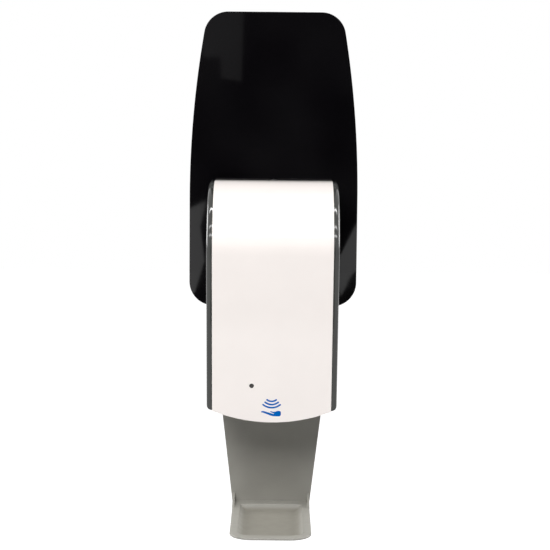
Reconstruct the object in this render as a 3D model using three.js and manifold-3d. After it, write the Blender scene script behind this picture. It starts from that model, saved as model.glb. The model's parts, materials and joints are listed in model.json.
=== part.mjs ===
import * as THREE from 'three';
import { mergeVertices } from 'three/addons/utils/BufferGeometryUtils.js';
import Module from 'manifold-3d';

// Automatic soap dispenser on a glossy backing board, with a drip tray under it.
// Millimetres, X to the right, Z up. The wall is the plane Y = 0 and the part stands in front of it, so a
// piece is placed by how far it stands out from the wall, called out here, which is minus Y.
// The origin is the centre of the board's rear face.

const wasm = await Module();
wasm.setup();

// Sizes shared by many pieces
const seat = 0.3;
const overrun = 1;
const quarterTurn = Math.PI / 2;
const facets = {
  fine: 12, small: 16, round: 24, large: 40, arch: 120, bend: 12, corner: 6, side: 8, edge: 3,
};

// Backing board
const board = {
  halfWidth: 86.7,
  halfHeight: 151.3,
  thickness: 5,
  cornerRadius: 25,
  sideRadius: 1015,
  curveStart: -40,
};

// Body: the cover as a whole
const body = {
  depth: 90,
  flatTop: 20,
  top: -19.9,
  bottom: -255.9,
  archRadius: 165.1,
  narrowing: 1.05,
};
const bendRadius = body.depth - body.flatTop;
const front = board.thickness + body.depth;
const shoulder = body.top - bendRadius;
const archCentre = body.bottom + body.archRadius;

// Gear pump. Its place is the point midway between its two gears.
const pump = {
  rise: 34,
  teeth: 10,
  module: 1.1,
  addendumShare: 0.8,
  dedendumShare: 1.15,
  thinning: 0.16,
  pressureAngle: 0.436,
  gearWidth: 8,
  chamberGap: 0.3,
  halfWidth: 15,
  halfHeight: 10.5,
  wall: 3.5,
  plate: 2,
  shaftRadius: 1.2,
  boreRadius: 2,
  barbRadius: 3.5,
  barbLength: 7,
};
const gearPitch = pump.module * pump.teeth / 2;

// Motor behind the pump
const motor = { radius: 12.1, length: 24, flat: 9.6, capRadius: 10.6, capLength: 2.6, nose: 5, rearGap: 7.2 };

// Battery box with four cells, two wide and two deep
const battery = {
  pumpGap: 4.5,
  sideGap: 1.7,
  footHeight: 6,
  wall: 1.6,
  cellRadius: 7.1,
  cellLength: 49,
  nubRadius: 2.7,
  nubHeight: 1.4,
  pitch: 14.8,
  contactThickness: 0.8,
  lidThickness: 2,
  lidMargin: 3,
  lidSideMargin: 1,
  lidTravel: 7,
  tongue: 2,
  grip: 1.2,
};
const batteryInner = battery.pitch + battery.cellRadius * 2 + seat * 2;
const batteryOuter = batteryInner + battery.wall * 2;
const batteryLeft = pump.halfWidth + battery.pumpGap;
const batteryRight = batteryLeft + batteryOuter;

// Mechanism box under the reservoir, open at the top, and its lid. The battery box sets its width.
const box = {
  wall: 2,
  underside: 16.9,
  frontGap: 8,
  height: 79,
  lidThickness: 2.5,
};
const boxHalf = batteryRight + battery.sideGap + box.wall;
const boxFront = front - box.frontGap;
const boxBottom = body.bottom + box.underside;
const boxTop = boxBottom + box.height;
const boxFloor = boxBottom + box.wall;
const lidTop = boxTop + seat + box.lidThickness;

// White front panel
const panel = { sideGap: 4, wall: 2.5, rearEdge: 18 };
const panelHalf = boxHalf + panel.sideGap;

// Grey side pieces beside the panel
const side = {
  reach: 5.2,
  gap: 0.6,
  drop: 1.2,
  wall: 2.5,
  edgeRadius: 4,
  cornerRadius: 6,
  wallGap: 0.8,
  ledgeWidth: 6.6,
  ledgeThickness: 2,
};
const sideInnerEdge = panelHalf + side.gap;
const sideOuter = sideInnerEdge + side.reach;
const sideBack = board.thickness + side.wallGap;

// Rear chassis
const chassis = {
  sideGap: 0.4,
  thickness: 3,
  shelfThickness: 2.2,
  shelfDrop: 0.5,
  shelfGap: 0.5,
  bossRadius: 4.5,
  bossHeight: 5,
  flangeThickness: 1.8,
  flangeDepth: 6,
  flangeEnd: 40,
};
const chassisHalf = sideInnerEdge - chassis.sideGap;
const chassisBack = board.thickness + seat;
const chassisFront = chassisBack + chassis.thickness;
const bossFront = chassisFront + chassis.bossHeight;
const shelfTop = body.top - chassis.shelfDrop;
const shelfBottom = shelfTop - chassis.shelfThickness;
const boxBack = bossFront + seat;
const pumpOut = boxBack + box.wall + motor.rearGap + motor.capLength + motor.length + seat + pump.plate
  + seat + pump.gearWidth / 2;
const pumpZ = boxFloor + pump.rise;

// Hinge of the cover, near the bottom at the back
const hinge = {
  out: 11.5,
  above: 1,
  earGap: 1.3,
  earRadius: 4,
  earThickness: 3,
  pinRadius: 2,
  pinLength: 6.3,
  bossRadius: 4.5,
};
const hingeZ = boxBottom + hinge.above;
const earInner = boxHalf + hinge.earGap;
const earOuter = earInner + hinge.earThickness;

// Key lock at the top
const lock = {
  out: 13,
  headRadius: 4.4,
  headHeight: 1,
  radius: 3.8,
  length: 9.9,
  tail: 1.8,
  tailLength: 2.8,
  endRadius: 3.8,
  endHeight: 1.4,
  camWidth: 3.5,
  camBack: 2.4,
  camReach: 9.5,
  camThickness: 2.2,
  keyWidth: 1,
  keyLength: 5,
  keyDepth: 6,
};
const camTop = shelfTop + seat - lock.length - seat;

// Hook on the cover that the cam holds
const hook = { inner: 5.2, width: 3, thickness: 1.4, arm: 6, ahead: 13, drop: 5.2, camGap: 0.8, rearGap: 0.45 };

// Reservoir
const tank = {
  sideGap: 3,
  wall: 2,
  back: 15,
  frontGap: 7,
  drop: 30.1,
  flatTop: 13,
  neckOut: 34,
  neckRadius: 14,
  neckWall: 2,
  neckHeight: 5,
  neckSink: 8,
  outletRadius: 3.5,
  outletBore: 2.2,
  outletLength: 12,
  earX: 32,
  earHalfWidth: 6,
  earHeight: 12,
  earThickness: 2.4,
};
const tankHalf = panelHalf - tank.sideGap;
const tankTop = body.top - tank.drop;
const tankBottom = lidTop + seat;
const tankFront = front - tank.frontGap;

// Screw cap of the reservoir and its seal
const cap = { radius: 17.4, top: 2, height: 8, ribDepth: 0.8, ribs: 24 };
const seal = { inner: 9.5, thickness: 0.9 };

// Drip tray: arm, shelf, dish and gussets in one piece
const tray = {
  armBack: 1.4,
  armThickness: 3.3,
  boardGap: 8.7,
  armTopHalfWidth: 54.5,
  armWidest: -240,
  armBottomHalfWidth: 40.5,
  rim: -358.7,
  halfWidth: 40.2,
  front: 150.6,
  cornerRadius: 22,
  rearRadius: 3,
  lip: 1.9,
  lipUnder: 0.36,
  depth: 8,
  bowlInset: 4,
  bowlSideTaper: 8,
  bowlFrontTaper: 17.6,
  dishInset: 8,
  dishRear: 19,
  dishFront: 139.3,
  dishDepth: 6,
  dishCorner: 13,
  dishDropShares: [0, 0.45, 0.85, 1],
  dishInsetShares: [0, 0.25, 0.75, 1.4],
  dishFrontShares: [0, 0.4, 1.2, 2.2],
  gussetWidth: 2.4,
  gussetHeight: 8.7,
  gussetReach: 32.8,
};
const armFront = tray.armBack + tray.armThickness;
const armTop = -board.halfHeight - tray.boardGap;

// Screws: head radius, head height, shank radius, shank length, and how far in or down their places are
const boardScrew = { head: 4, headHeight: 2.2, shank: 2, length: 10.4, x: 45, rise: 23.3, drop: 26.1 };
const trayScrew = { head: 3.4, headHeight: 1.9, shank: 1.6, length: 9.4, x: 28, drop: 26 };
const tankScrew = { head: 3, headHeight: 2, shank: 1.5, length: 7.6 };
const boxScrew = { head: 3, headHeight: 2, shank: 1.5, length: 6.4, x: 12, drop: 15 };
const pumpScrew = { head: 2, headHeight: 1.4, shank: 1, length: 8 };
const coverScrew = { head: 2.1, headHeight: 1.2, shank: 0.9, length: 3.6, inset: 3, rise: 33.9, drop: 22.1 };
const wallScrew = { radius: 2.6, x: 35, drop: 76.1 };

// Hoses and nozzle
const hose = { gap: 0.3, wall: 1.5, overlap: 5 };
const nozzle = { flange: 7.5, flangeHeight: 2, radius: 5, length: 9, tip: 3.2, tipHeight: 3, bore: 1.6 };

// Boards and electronics. The sensor's pieces lie between the nozzle and the front of the box, at shares of
// that room.
const mainBoard = { motorGap: 2.4, lowGap: 4, highGap: 7, standoff: 1.8, thickness: 1.6, post: 2.5 };
const chip = { width: 12, height: 12, thickness: 1.8, rise: 10 };
const sensorBoard = {
  left: -26,
  right: 14,
  backShare: 0.21,
  legMargin: 2,
  lift: 7,
  thickness: 1.6,
  post: 2,
};
const eye = { radius: 2.5, tipRadius: 1.75, tipLength: 1.25, x: 7, outShare: 0.6, height: 4.4 };
const windowPlate = { halfWidth: 13, backShare: 0.35, frontShare: 0.91, thickness: 2 };
const lens = { x: -20, z: -219.2, radius: 2, flange: 3.2, flangeThickness: 1 };
const lamp = { radius: 2.5, length: 8, standoff: 1.2, legSpacing: 1.3, legRadius: 0.3 };
const powerSwitch = {
  inset: 18,
  drop: 26,
  halfWidth: 7,
  halfHeight: 4,
  depth: 6,
  knobHalf: 2,
  knobHeight: 2,
  knobReach: 3,
  travel: 3,
};
const frontInner = boxFront - box.wall;
const sensorBack = pumpOut + nozzle.flange;
const sensorPlace = (share) => sensorBack + share * (frontInner - sensorBack);
const legOut = frontInner - lamp.length / 2;
const sensorFront = legOut + sensorBoard.legMargin;

// Leads: section, and how far their bends stand off the board's edge, its face and its lower edge
const lead = { radius: 0.9, sides: 6, steps: 20 };
const motorLead = { inset: 6, bend: 5, near: 1, lift: 4, reach: 6, rise: 8, fall: 2, end: 3, capOverlap: 1 };
const sensorLead = {
  inset: 8,
  shift: 2,
  lift: 8,
  reach: 30,
  rise: 12,
  dip: 4,
  nearGap: 2,
  bend: 3,
  landing: 3.6,
};

// Basic shapes. An axis is 'x', 'out' or 'z', and outlines are in the other two, in that order.

function solidOf(geometry) {
  geometry.deleteAttribute('normal');
  geometry.deleteAttribute('uv');
  const merged = mergeVertices(geometry);
  const corners = Array.from(merged.index.array);
  const places = merged.attributes.position.array;
  const triangles = [];
  for (let i = 0; i < corners.length; i += 3) {
    const [a, b, c] = corners.slice(i, i + 3);
    if (a !== b && b !== c && c !== a) triangles.push(a, b, c);
  }
  return new wasm.Manifold(
    new wasm.Mesh({ numProp: 3, vertProperties: places, triVerts: Uint32Array.from(triangles) }),
  );
}

function geometryOf(solid) {
  const mesh = solid.getMesh();
  const geometry = new THREE.BufferGeometry();
  geometry.setAttribute('position', new THREE.BufferAttribute(mesh.vertProperties, mesh.numProp));
  geometry.setIndex(new THREE.BufferAttribute(mesh.triVerts, 1));
  geometry.computeVertexNormals();
  return geometry;
}

function join(first, ...others) {
  return others.reduce((whole, piece) => whole.add(piece), first);
}

function cut(first, ...tools) {
  return tools.reduce((whole, tool) => whole.subtract(tool), first);
}

// The turn that takes an extrusion's own axes to the outline's two axes and the slab's axis
function slabTurn(axis, from, to) {
  const right = new THREE.Vector3(1, 0, 0);
  const outward = new THREE.Vector3(0, -1, 0);
  const up = new THREE.Vector3(0, 0, 1);
  const turn = new THREE.Matrix4();
  if (axis === 'x') return turn.makeBasis(outward, up, right.clone().negate()).setPosition(to, 0, 0);
  if (axis === 'z') return turn.makeBasis(right, outward, up.clone().negate()).setPosition(0, 0, to);
  return turn.makeBasis(right, up, outward).setPosition(0, -from, 0);
}

// A flat-sided solid: an outline, with holes if any, run along an axis
function slab(axis, from, to, outline, ...holes) {
  const low = Math.min(from, to);
  const high = Math.max(from, to);
  const asVectors = (points) => points.map(([u, v]) => new THREE.Vector2(u, v));
  const shape = new THREE.Shape(asVectors(outline));
  shape.holes = holes.map((points) => new THREE.Path(asVectors(points)));
  const geometry = new THREE.ExtrudeGeometry(shape, { depth: high - low, bevelEnabled: false });
  return solidOf(geometry.applyMatrix4(slabTurn(axis, low, high)));
}

function rect(u0, u1, v0, v1) {
  return [[u0, v0], [u1, v0], [u1, v1], [u0, v1]];
}

function arc(u, v, radius, from, to, steps) {
  return Array.from({ length: steps + 1 }, (_, step) => {
    const angle = from + (to - from) * step / steps;
    return [u + radius * Math.cos(angle), v + radius * Math.sin(angle)];
  });
}

function circle(u, v, radius, sides) {
  return arc(u, v, radius, 0, 4 * quarterTurn, sides).slice(1);
}

// Rectangle with its four corners rounded, the two at low v by one radius and the two at high v by another
function roundRect(u0, u1, v0, v1, lowRadius, highRadius, steps) {
  return [
    ...arc(u0 + lowRadius, v0 + lowRadius, lowRadius, 2 * quarterTurn, 3 * quarterTurn, steps),
    ...arc(u1 - lowRadius, v0 + lowRadius, lowRadius, -quarterTurn, 0, steps),
    ...arc(u1 - highRadius, v1 - highRadius, highRadius, 0, quarterTurn, steps),
    ...arc(u0 + highRadius, v1 - highRadius, highRadius, quarterTurn, 2 * quarterTurn, steps),
  ];
}

function block(x0, x1, out0, out1, z0, z1) {
  return slab('z', z0, z1, rect(x0, x1, out0, out1));
}

function rodOut(x, z, radius, from, to, sides) {
  return slab('out', from, to, circle(x, z, radius, sides));
}

function rodUp(x, out, radius, from, to, sides) {
  return slab('z', from, to, circle(x, out, radius, sides));
}

function rodAcross(out, z, radius, from, to, sides) {
  return slab('x', from, to, circle(out, z, radius, sides));
}

// A solid through rings of equally many points, each [x, out, z], closed by flat ends. The rings may run
// either way round, and flatten gives a ring's points in its own plane.
function loft(rings, flatten) {
  const count = rings[0].length;
  const places = rings.flat().map(([x, out, z]) => [x, -out, z]);
  const triangles = [];
  for (let ring = 0; ring + 1 < rings.length; ring++) {
    for (let i = 0; i < count; i++) {
      const a = ring * count + i;
      const b = ring * count + (i + 1) % count;
      triangles.push([a, b, b + count], [a, b + count, a + count]);
    }
  }
  const endCap = (ring) => THREE.ShapeUtils.triangulateShape(ring.map(flatten), []);
  const last = (rings.length - 1) * count;
  for (const [a, b, c] of endCap(rings[0])) triangles.push([a, c, b]);
  for (const [a, b, c] of endCap(rings[rings.length - 1])) triangles.push([last + a, last + b, last + c]);
  const volume = triangles.reduce((sum, corners) => {
    const [a, b, c] = corners.map((corner) => new THREE.Vector3(...places[corner]));
    return sum + a.dot(b.cross(c));
  }, 0);
  const facing = volume < 0 ? triangles.map(([a, b, c]) => [a, c, b]) : triangles;
  const geometry = new THREE.BufferGeometry();
  geometry.setAttribute('position', new THREE.Float32BufferAttribute(places.flat(), 3));
  geometry.setIndex(facing.flat());
  return solidOf(geometry);
}

// A turned solid from [radius, along] points that start and end on the axis
function turned(profile, sides) {
  const points = profile.map(([radius, along]) => new THREE.Vector2(radius, along));
  return new THREE.LatheGeometry(points, sides);
}

function turnedUp(x, out, profile, sides) {
  const geometry = turned(profile, sides).rotateX(quarterTurn);
  return solidOf(geometry.translate(x, -out, 0));
}

function turnedOut(x, z, profile, sides) {
  const geometry = turned(profile, sides).rotateX(2 * quarterTurn);
  return solidOf(geometry.translate(x, 0, z));
}

// How much narrower the cover is at a height, and its inverse for what lines up with a fixed piece
function narrowShare(z) {
  const fall = Math.min(Math.max((shoulder - z) / (shoulder - body.bottom), 0), 1);
  return fall * body.narrowing / sideOuter;
}

function widen(x, z) {
  return x / (1 - narrowShare(z));
}

function narrowed(solid) {
  const geometry = geometryOf(solid);
  const places = geometry.attributes.position;
  for (let i = 0; i < places.count; i++) {
    places.setX(i, places.getX(i) * (1 - narrowShare(places.getZ(i))));
  }
  return geometry;
}

// Screws with a slot across the head. A flat head is a cone that ends flush.
function screwGeometry(screw, flat) {
  const slotHalf = screw.shank / 4;
  const slotDepth = screw.headHeight / 2;
  const underHead = flat ? [] : [[screw.head, 0]];
  const shape = turned([
    [0, -screw.length],
    [screw.shank, -screw.length + screw.shank],
    [screw.shank, 0],
    ...underHead,
    [screw.head, screw.headHeight],
    [0, screw.headHeight],
  ], facets.small);
  const head = solidOf(shape.rotateX(2 * quarterTurn));
  const slot = block(-screw.head - overrun, screw.head + overrun, screw.headHeight - slotDepth,
    screw.headHeight + overrun, -slotHalf, slotHalf);
  return geometryOf(cut(head, slot));
}

// Materials
function finish(color, roughness, metalness = 0) {
  return new THREE.MeshStandardMaterial({ color, roughness, metalness });
}

const finishes = {
  board: finish(0x0b0a0c, 0.05),
  panel: finish(0xf6f2ee, 0.25),
  side: finish(0x3a3c39, 0.2),
  tray: finish(0x9a978e, 0.45),
  chassis: finish(0x2b2c2d, 0.5),
  housing: finish(0xd8d8d6, 0.5),
  steel: finish(0xb9bcc0, 0.3, 1),
  brass: finish(0xc2a25a, 0.35, 1),
  tank: finish(0xe6eaec, 0.3),
  rubber: finish(0x1d1d1e, 0.8),
  silicone: finish(0xdfe3e4, 0.5),
  circuit: finish(0x1f5a3a, 0.5),
  chip: finish(0x151617, 0.5),
  gear: finish(0xe8e2d0, 0.5),
  lens: finish(0x241316, 0.1),
  window: finish(0x120c14, 0.1),
  cell: finish(0x3f6fa5, 0.4),
  lead: finish(0xa11f22, 0.5),
};

const dispenser = new THREE.Group();

function add(group, name, shape, material) {
  const geometry = shape.isBufferGeometry ? shape : geometryOf(shape);
  const mesh = new THREE.Mesh(geometry, material);
  mesh.name = name;
  group.add(mesh);
  return mesh;
}

function groupAt(parent, x, out, z) {
  const group = new THREE.Group();
  group.position.set(x, -out, z);
  parent.add(group);
  return group;
}

// A screw at a place. Its head faces out of the wall, or into it when turned round.
function addScrew(parent, name, screw, x, out, z, facesWall) {
  const mesh = add(parent, name, screwGeometry(screw, facesWall), finishes.steel);
  mesh.position.set(x, -out, z);
  if (facesWall) mesh.rotation.z = 2 * quarterTurn;
}

// Backing board

function boardOutline() {
  const { halfWidth, halfHeight, cornerRadius, sideRadius, curveStart } = board;
  const sideCentre = halfWidth - sideRadius;
  const cornerZ = halfHeight - cornerRadius;
  const lean = Math.asin((cornerZ - curveStart) / (sideRadius - cornerRadius));
  const topCornerX = sideCentre + (sideRadius - cornerRadius) * Math.cos(lean);
  const right = [
    ...arc(halfWidth - cornerRadius, -cornerZ, cornerRadius, -quarterTurn, 0, facets.side),
    ...arc(sideCentre, curveStart, sideRadius, 0, lean, facets.side),
    ...arc(topCornerX, cornerZ, cornerRadius, lean, quarterTurn, facets.side).slice(1),
  ];
  const left = right.map(([x, z]) => [-x, z]).reverse();
  return [...right, ...left];
}

const boardHoles = [-1, 1].flatMap((hand) => [
  [hand * boardScrew.x, boardScrew.rise - board.halfHeight],
  [hand * boardScrew.x, body.top - boardScrew.drop],
]);
const wallHoles = [-1, 1].map((hand) => [hand * wallScrew.x, body.top - wallScrew.drop]);

// A tapered hole for a flat head whose face is flush with a plate's wall side
function sunkHole(x, z, screw, face) {
  return turnedOut(x, z, [
    [0, face - overrun],
    [screw.head + seat + overrun, face - overrun],
    [screw.head + seat, face],
    [screw.shank + seat, face + screw.headHeight + seat],
    [screw.shank + seat, face + screw.length],
    [0, face + screw.length],
  ], facets.small);
}

function addBoard() {
  const sheet = slab('out', 0, board.thickness, boardOutline());
  const sunk = boardHoles.map(([x, z]) => sunkHole(x, z, boardScrew, 0));
  const through = wallHoles.map(([x, z]) =>
    rodOut(x, z, wallScrew.radius, -overrun, board.thickness + overrun, facets.small));
  add(dispenser, 'back_board', cut(sheet, ...sunk, ...through), finishes.board);
  boardHoles.forEach(([x, z], i) => {
    addScrew(dispenser, `board_screw_${i + 1}`, boardScrew, x, boardScrew.headHeight + seat, z, true);
  });
}

// Rear chassis: plate, side flanges, top shelf, bosses and hinge ears

const trayHoles = [-1, 1].map((hand) => [hand * trayScrew.x, armTop - trayScrew.drop]);
const boxHoles = [-1, 1].map((hand) => [hand * boxScrew.x, boxTop - boxScrew.drop]);
const tankEarZ = tankTop + tank.earHeight / 2;
const tankHoles = [-1, 1].map((hand) => [hand * tank.earX, tankEarZ]);

function addChassis() {
  const plate = slab('out', chassisBack, chassisFront,
    rect(-chassisHalf, chassisHalf, hingeZ, shelfTop));
  const shelf = block(-panelHalf, panelHalf, chassisBack, panel.rearEdge - chassis.shelfGap,
    shelfBottom, shelfTop);
  const flanges = [-1, 1].map((hand) => block(
    hand > 0 ? chassisHalf - chassis.flangeThickness : -chassisHalf,
    hand > 0 ? chassisHalf : chassis.flangeThickness - chassisHalf,
    chassisBack, chassisFront + chassis.flangeDepth, hingeZ + chassis.flangeEnd, shelfTop));
  const bosses = [...boardHoles, ...trayHoles, ...boxHoles].map(([x, z]) =>
    rodOut(x, z, chassis.bossRadius, chassisBack, bossFront, facets.small));
  const tankBosses = tankHoles.map(([x, z]) =>
    rodOut(x, z, chassis.bossRadius, chassisBack, tank.back - seat, facets.small));
  const ears = [-1, 1].map((hand) => join(
    rodAcross(hinge.out, hingeZ, hinge.earRadius, hand * earInner, hand * earOuter, facets.round),
    slab('x', hand * earInner, hand * earOuter,
      rect(chassisBack, hinge.out, hingeZ, hingeZ + hinge.earRadius))));
  const pinHoles = [-1, 1].map((hand) => rodAcross(hinge.out, hingeZ, hinge.pinRadius + seat,
    hand * (earInner - overrun), hand * (earOuter + overrun), facets.small));
  const screwHoles = [
    ...boardHoles.map(([x, z]) => rodOut(x, z, boardScrew.shank + seat, chassisBack - overrun,
      bossFront + overrun, facets.small)),
    ...trayHoles.map(([x, z]) => rodOut(x, z, trayScrew.shank + seat, chassisBack - overrun,
      bossFront + overrun, facets.small)),
    ...boxHoles.map(([x, z]) => rodOut(x, z, boxScrew.shank + seat, chassisFront,
      bossFront + overrun, facets.small)),
    ...tankHoles.map(([x, z]) => rodOut(x, z, tankScrew.shank + seat, chassisFront,
      tank.back, facets.small)),
    ...wallHoles.map(([x, z]) => rodOut(x, z, wallScrew.radius, chassisBack - overrun,
      chassisFront + overrun, facets.small)),
  ];
  const lockHole = rodUp(0, lock.out, lock.radius + seat, shelfBottom - overrun, shelfTop + overrun,
    facets.round);
  const whole = join(plate, shelf, ...flanges, ...bosses, ...tankBosses, ...ears);
  add(dispenser, 'chassis', cut(whole, ...pinHoles, ...screwHoles, lockHole), finishes.chassis);
  for (const [name, hand] of [['hinge_pin_left', -1], ['hinge_pin_right', 1]]) {
    const pin = rodAcross(hinge.out, hingeZ, hinge.pinRadius, hand * earInner,
      hand * (earInner + hinge.pinLength), facets.small);
    add(dispenser, name, pin, finishes.steel);
  }
}

// Key lock: barrel with a keyway, and a cam on its square tail

function addLock() {
  const group = groupAt(dispenser, 0, lock.out, shelfTop + seat);
  const tailHalf = lock.tail / 2;
  const keyHalf = lock.keyWidth / 2;
  const keyLengthHalf = lock.keyLength / 2;
  const camHalf = lock.camWidth / 2;
  const head = rodUp(0, 0, lock.headRadius, 0, lock.headHeight, facets.round);
  const barrel = rodUp(0, 0, lock.radius, -lock.length, lock.headHeight, facets.round);
  const tailEnd = -lock.length - lock.tailLength;
  const tail = block(-tailHalf, tailHalf, -tailHalf, tailHalf, tailEnd, 0);
  const end = rodUp(0, 0, lock.endRadius, tailEnd - lock.endHeight, tailEnd, facets.round);
  const keyway = block(-keyHalf, keyHalf, -keyLengthHalf, keyLengthHalf, lock.headHeight - lock.keyDepth,
    lock.headHeight + overrun);
  add(group, 'lock_barrel', cut(join(head, barrel, tail, end), keyway), finishes.steel);
  const hole = rect(-tailHalf - seat, tailHalf + seat, -tailHalf - seat, tailHalf + seat);
  const camHigh = -lock.length - seat;
  const camLow = camHigh - lock.camThickness;
  const cam = block(-camHalf, camHalf, -lock.camBack, lock.camReach, camLow, camHigh);
  add(group, 'lock_cam', cut(cam, slab('z', camLow - overrun, camHigh + overrun, hole)), finishes.steel);
}

// Cover: side view of its outer surface, moved inwards by an inset

function coverProfile(inset, rear, bottom) {
  const bend = arc(front - bendRadius, shoulder, bendRadius - inset, quarterTurn, 0, facets.bend);
  return [[rear, body.top - inset], ...bend, [front - inset, bottom]];
}

const coverLow = body.bottom - overrun;

function bandProfile(outer, inner, rear) {
  return [...coverProfile(outer, rear, coverLow), ...coverProfile(inner, rear, coverLow).reverse()];
}

function underArch() {
  return rodOut(0, archCentre, body.archRadius, 0, front + overrun, facets.arch);
}

const coverScrewPlaces = [-1, 1].flatMap((hand) => [
  [hand * (panelHalf - coverScrew.inset), body.bottom + coverScrew.rise],
  [hand * (panelHalf - coverScrew.inset), shoulder - coverScrew.drop],
]);
const ledgeFront = front - panel.wall - seat;
const ledgeBack = ledgeFront - side.ledgeThickness;

function addPanel() {
  const shell = slab('x', -panelHalf, panelHalf, bandProfile(0, panel.wall, panel.rearEdge));
  const inside = body.top - panel.wall / 2;
  const hookFront = lock.out + hook.ahead;
  const hookBack = chassisFront + hook.rearGap;
  const armLow = camTop + hook.camGap;
  const armHigh = armLow + hook.arm;
  const hookShape = slab('x', -hook.inner - hook.width, -hook.inner, [
    [hookFront, inside],
    [hookFront - hook.arm, inside],
    [hookFront - hook.arm, armHigh],
    [hookBack, armHigh],
    [hookBack, armLow - hook.drop],
    [hookBack + hook.thickness, armLow - hook.drop],
    [hookBack + hook.thickness, armLow],
    [hookFront, armLow],
  ]);
  const lensHole = rodOut(widen(lens.x, lens.z), lens.z, lens.radius + seat, front - panel.wall - overrun,
    front + overrun, facets.small);
  const screwEnds = coverScrewPlaces.map(([x, z]) => rodOut(widen(x, z), z, coverScrew.shank + seat,
    front - panel.wall - overrun, ledgeBack + coverScrew.length + seat, facets.fine));
  const whole = cut(join(shell, hookShape).intersect(underArch()), lensHole, ...screwEnds);
  add(dispenser, 'cover_front', narrowed(whole), finishes.panel);
}

// One side piece: a wall, a rounded front band beside the panel and a ledge behind the panel's edge
function sidePiece(hand) {
  const ring = (x, inset, rear) => [...coverProfile(inset, rear, coverLow), [rear, coverLow]]
    .map(([out, z]) => [hand * x, out, z]);
  const flatten = ([, out, z]) => new THREE.Vector2(-out, z);
  const rounding = Array.from({ length: facets.edge + 1 }, (_, step) => {
    const angle = quarterTurn * step / facets.edge;
    const inset = side.drop + side.edgeRadius * (1 - Math.cos(angle));
    return ring(sideOuter - side.edgeRadius * (1 - Math.sin(angle)), inset, sideBack);
  });
  const outer = loft([ring(sideInnerEdge, side.drop, sideBack), ...rounding], flatten);
  const hollowInset = side.drop + side.wall;
  const cornerInset = hollowInset + side.edgeRadius - side.wall;
  const hollowEnd = sideOuter - side.wall;
  const hollow = loft([
    ring(sideInnerEdge - overrun, hollowInset, sideBack - overrun),
    ring(hollowEnd - side.edgeRadius + side.wall, hollowInset, sideBack - overrun),
    ring(hollowEnd, cornerInset, sideBack - overrun),
  ], flatten);
  const ledgeInset = panel.wall + seat;
  const ledge = slab('x', hand * (sideInnerEdge - side.ledgeWidth), hand * (sideOuter - side.edgeRadius),
    bandProfile(ledgeInset, ledgeInset + side.ledgeThickness, panel.rearEdge));
  const bossInner = widen(earOuter + seat, hingeZ);
  const bossEnd = widen(earInner + hinge.pinLength + seat, hingeZ);
  const boss = rodAcross(hinge.out, hingeZ, hinge.bossRadius, hand * bossInner,
    hand * (sideOuter - side.wall / 2), facets.round);
  const pinHole = rodAcross(hinge.out, hingeZ, hinge.pinRadius + seat, hand * (bossInner - overrun),
    hand * bossEnd, facets.small);
  const screwHoles = coverScrewPlaces.filter(([x]) => x * hand > 0).map(([x, z]) =>
    rodOut(widen(x, z), z, coverScrew.shank + seat, ledgeBack - overrun, ledgeFront + overrun,
      facets.fine));
  const cornerX = sideOuter - side.cornerRadius;
  const cornerZ = archCentre - Math.sqrt(body.archRadius ** 2 - cornerX ** 2) + side.cornerRadius;
  const corner = cut(
    block(hand > 0 ? cornerX : -sideOuter - overrun, hand > 0 ? sideOuter + overrun : -cornerX,
      0, front + overrun, coverLow - overrun, cornerZ),
    rodOut(hand * cornerX, cornerZ, side.cornerRadius, -overrun, front + 2 * overrun, facets.round));
  const whole = join(cut(outer, hollow), ledge, boss).intersect(underArch());
  return narrowed(cut(whole, corner, pinHole, ...screwHoles));
}

function addCover() {
  addPanel();
  add(dispenser, 'cover_side_left', sidePiece(-1), finishes.side);
  add(dispenser, 'cover_side_right', sidePiece(1), finishes.side);
  coverScrewPlaces.forEach(([x, z], i) => {
    const mesh = add(dispenser, `cover_screw_${i + 1}`, screwGeometry(coverScrew, false), finishes.steel);
    mesh.position.set(x, -(ledgeBack - seat), z);
    mesh.rotation.z = 2 * quarterTurn;
  });
  const lensBack = front - panel.wall - seat - lens.flangeThickness;
  const lensShape = join(
    rodOut(lens.x, lens.z, lens.flange, lensBack, lensBack + lens.flangeThickness, facets.round),
    rodOut(lens.x, lens.z, lens.radius, lensBack, front - seat, facets.small));
  add(dispenser, 'status_lens', lensShape, finishes.lens);
}

// Reservoir, its cap and its screws

function tankOutline(inset) {
  const centreOut = tank.back + tank.flatTop;
  const radius = tankFront - centreOut;
  const bend = arc(centreOut, tankTop - radius, radius - inset, quarterTurn, 0, facets.side);
  return [
    [tank.back + inset, tankTop - inset],
    ...bend,
    [tankFront - inset, tankBottom + inset],
    [tank.back + inset, tankBottom + inset],
  ];
}

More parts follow.
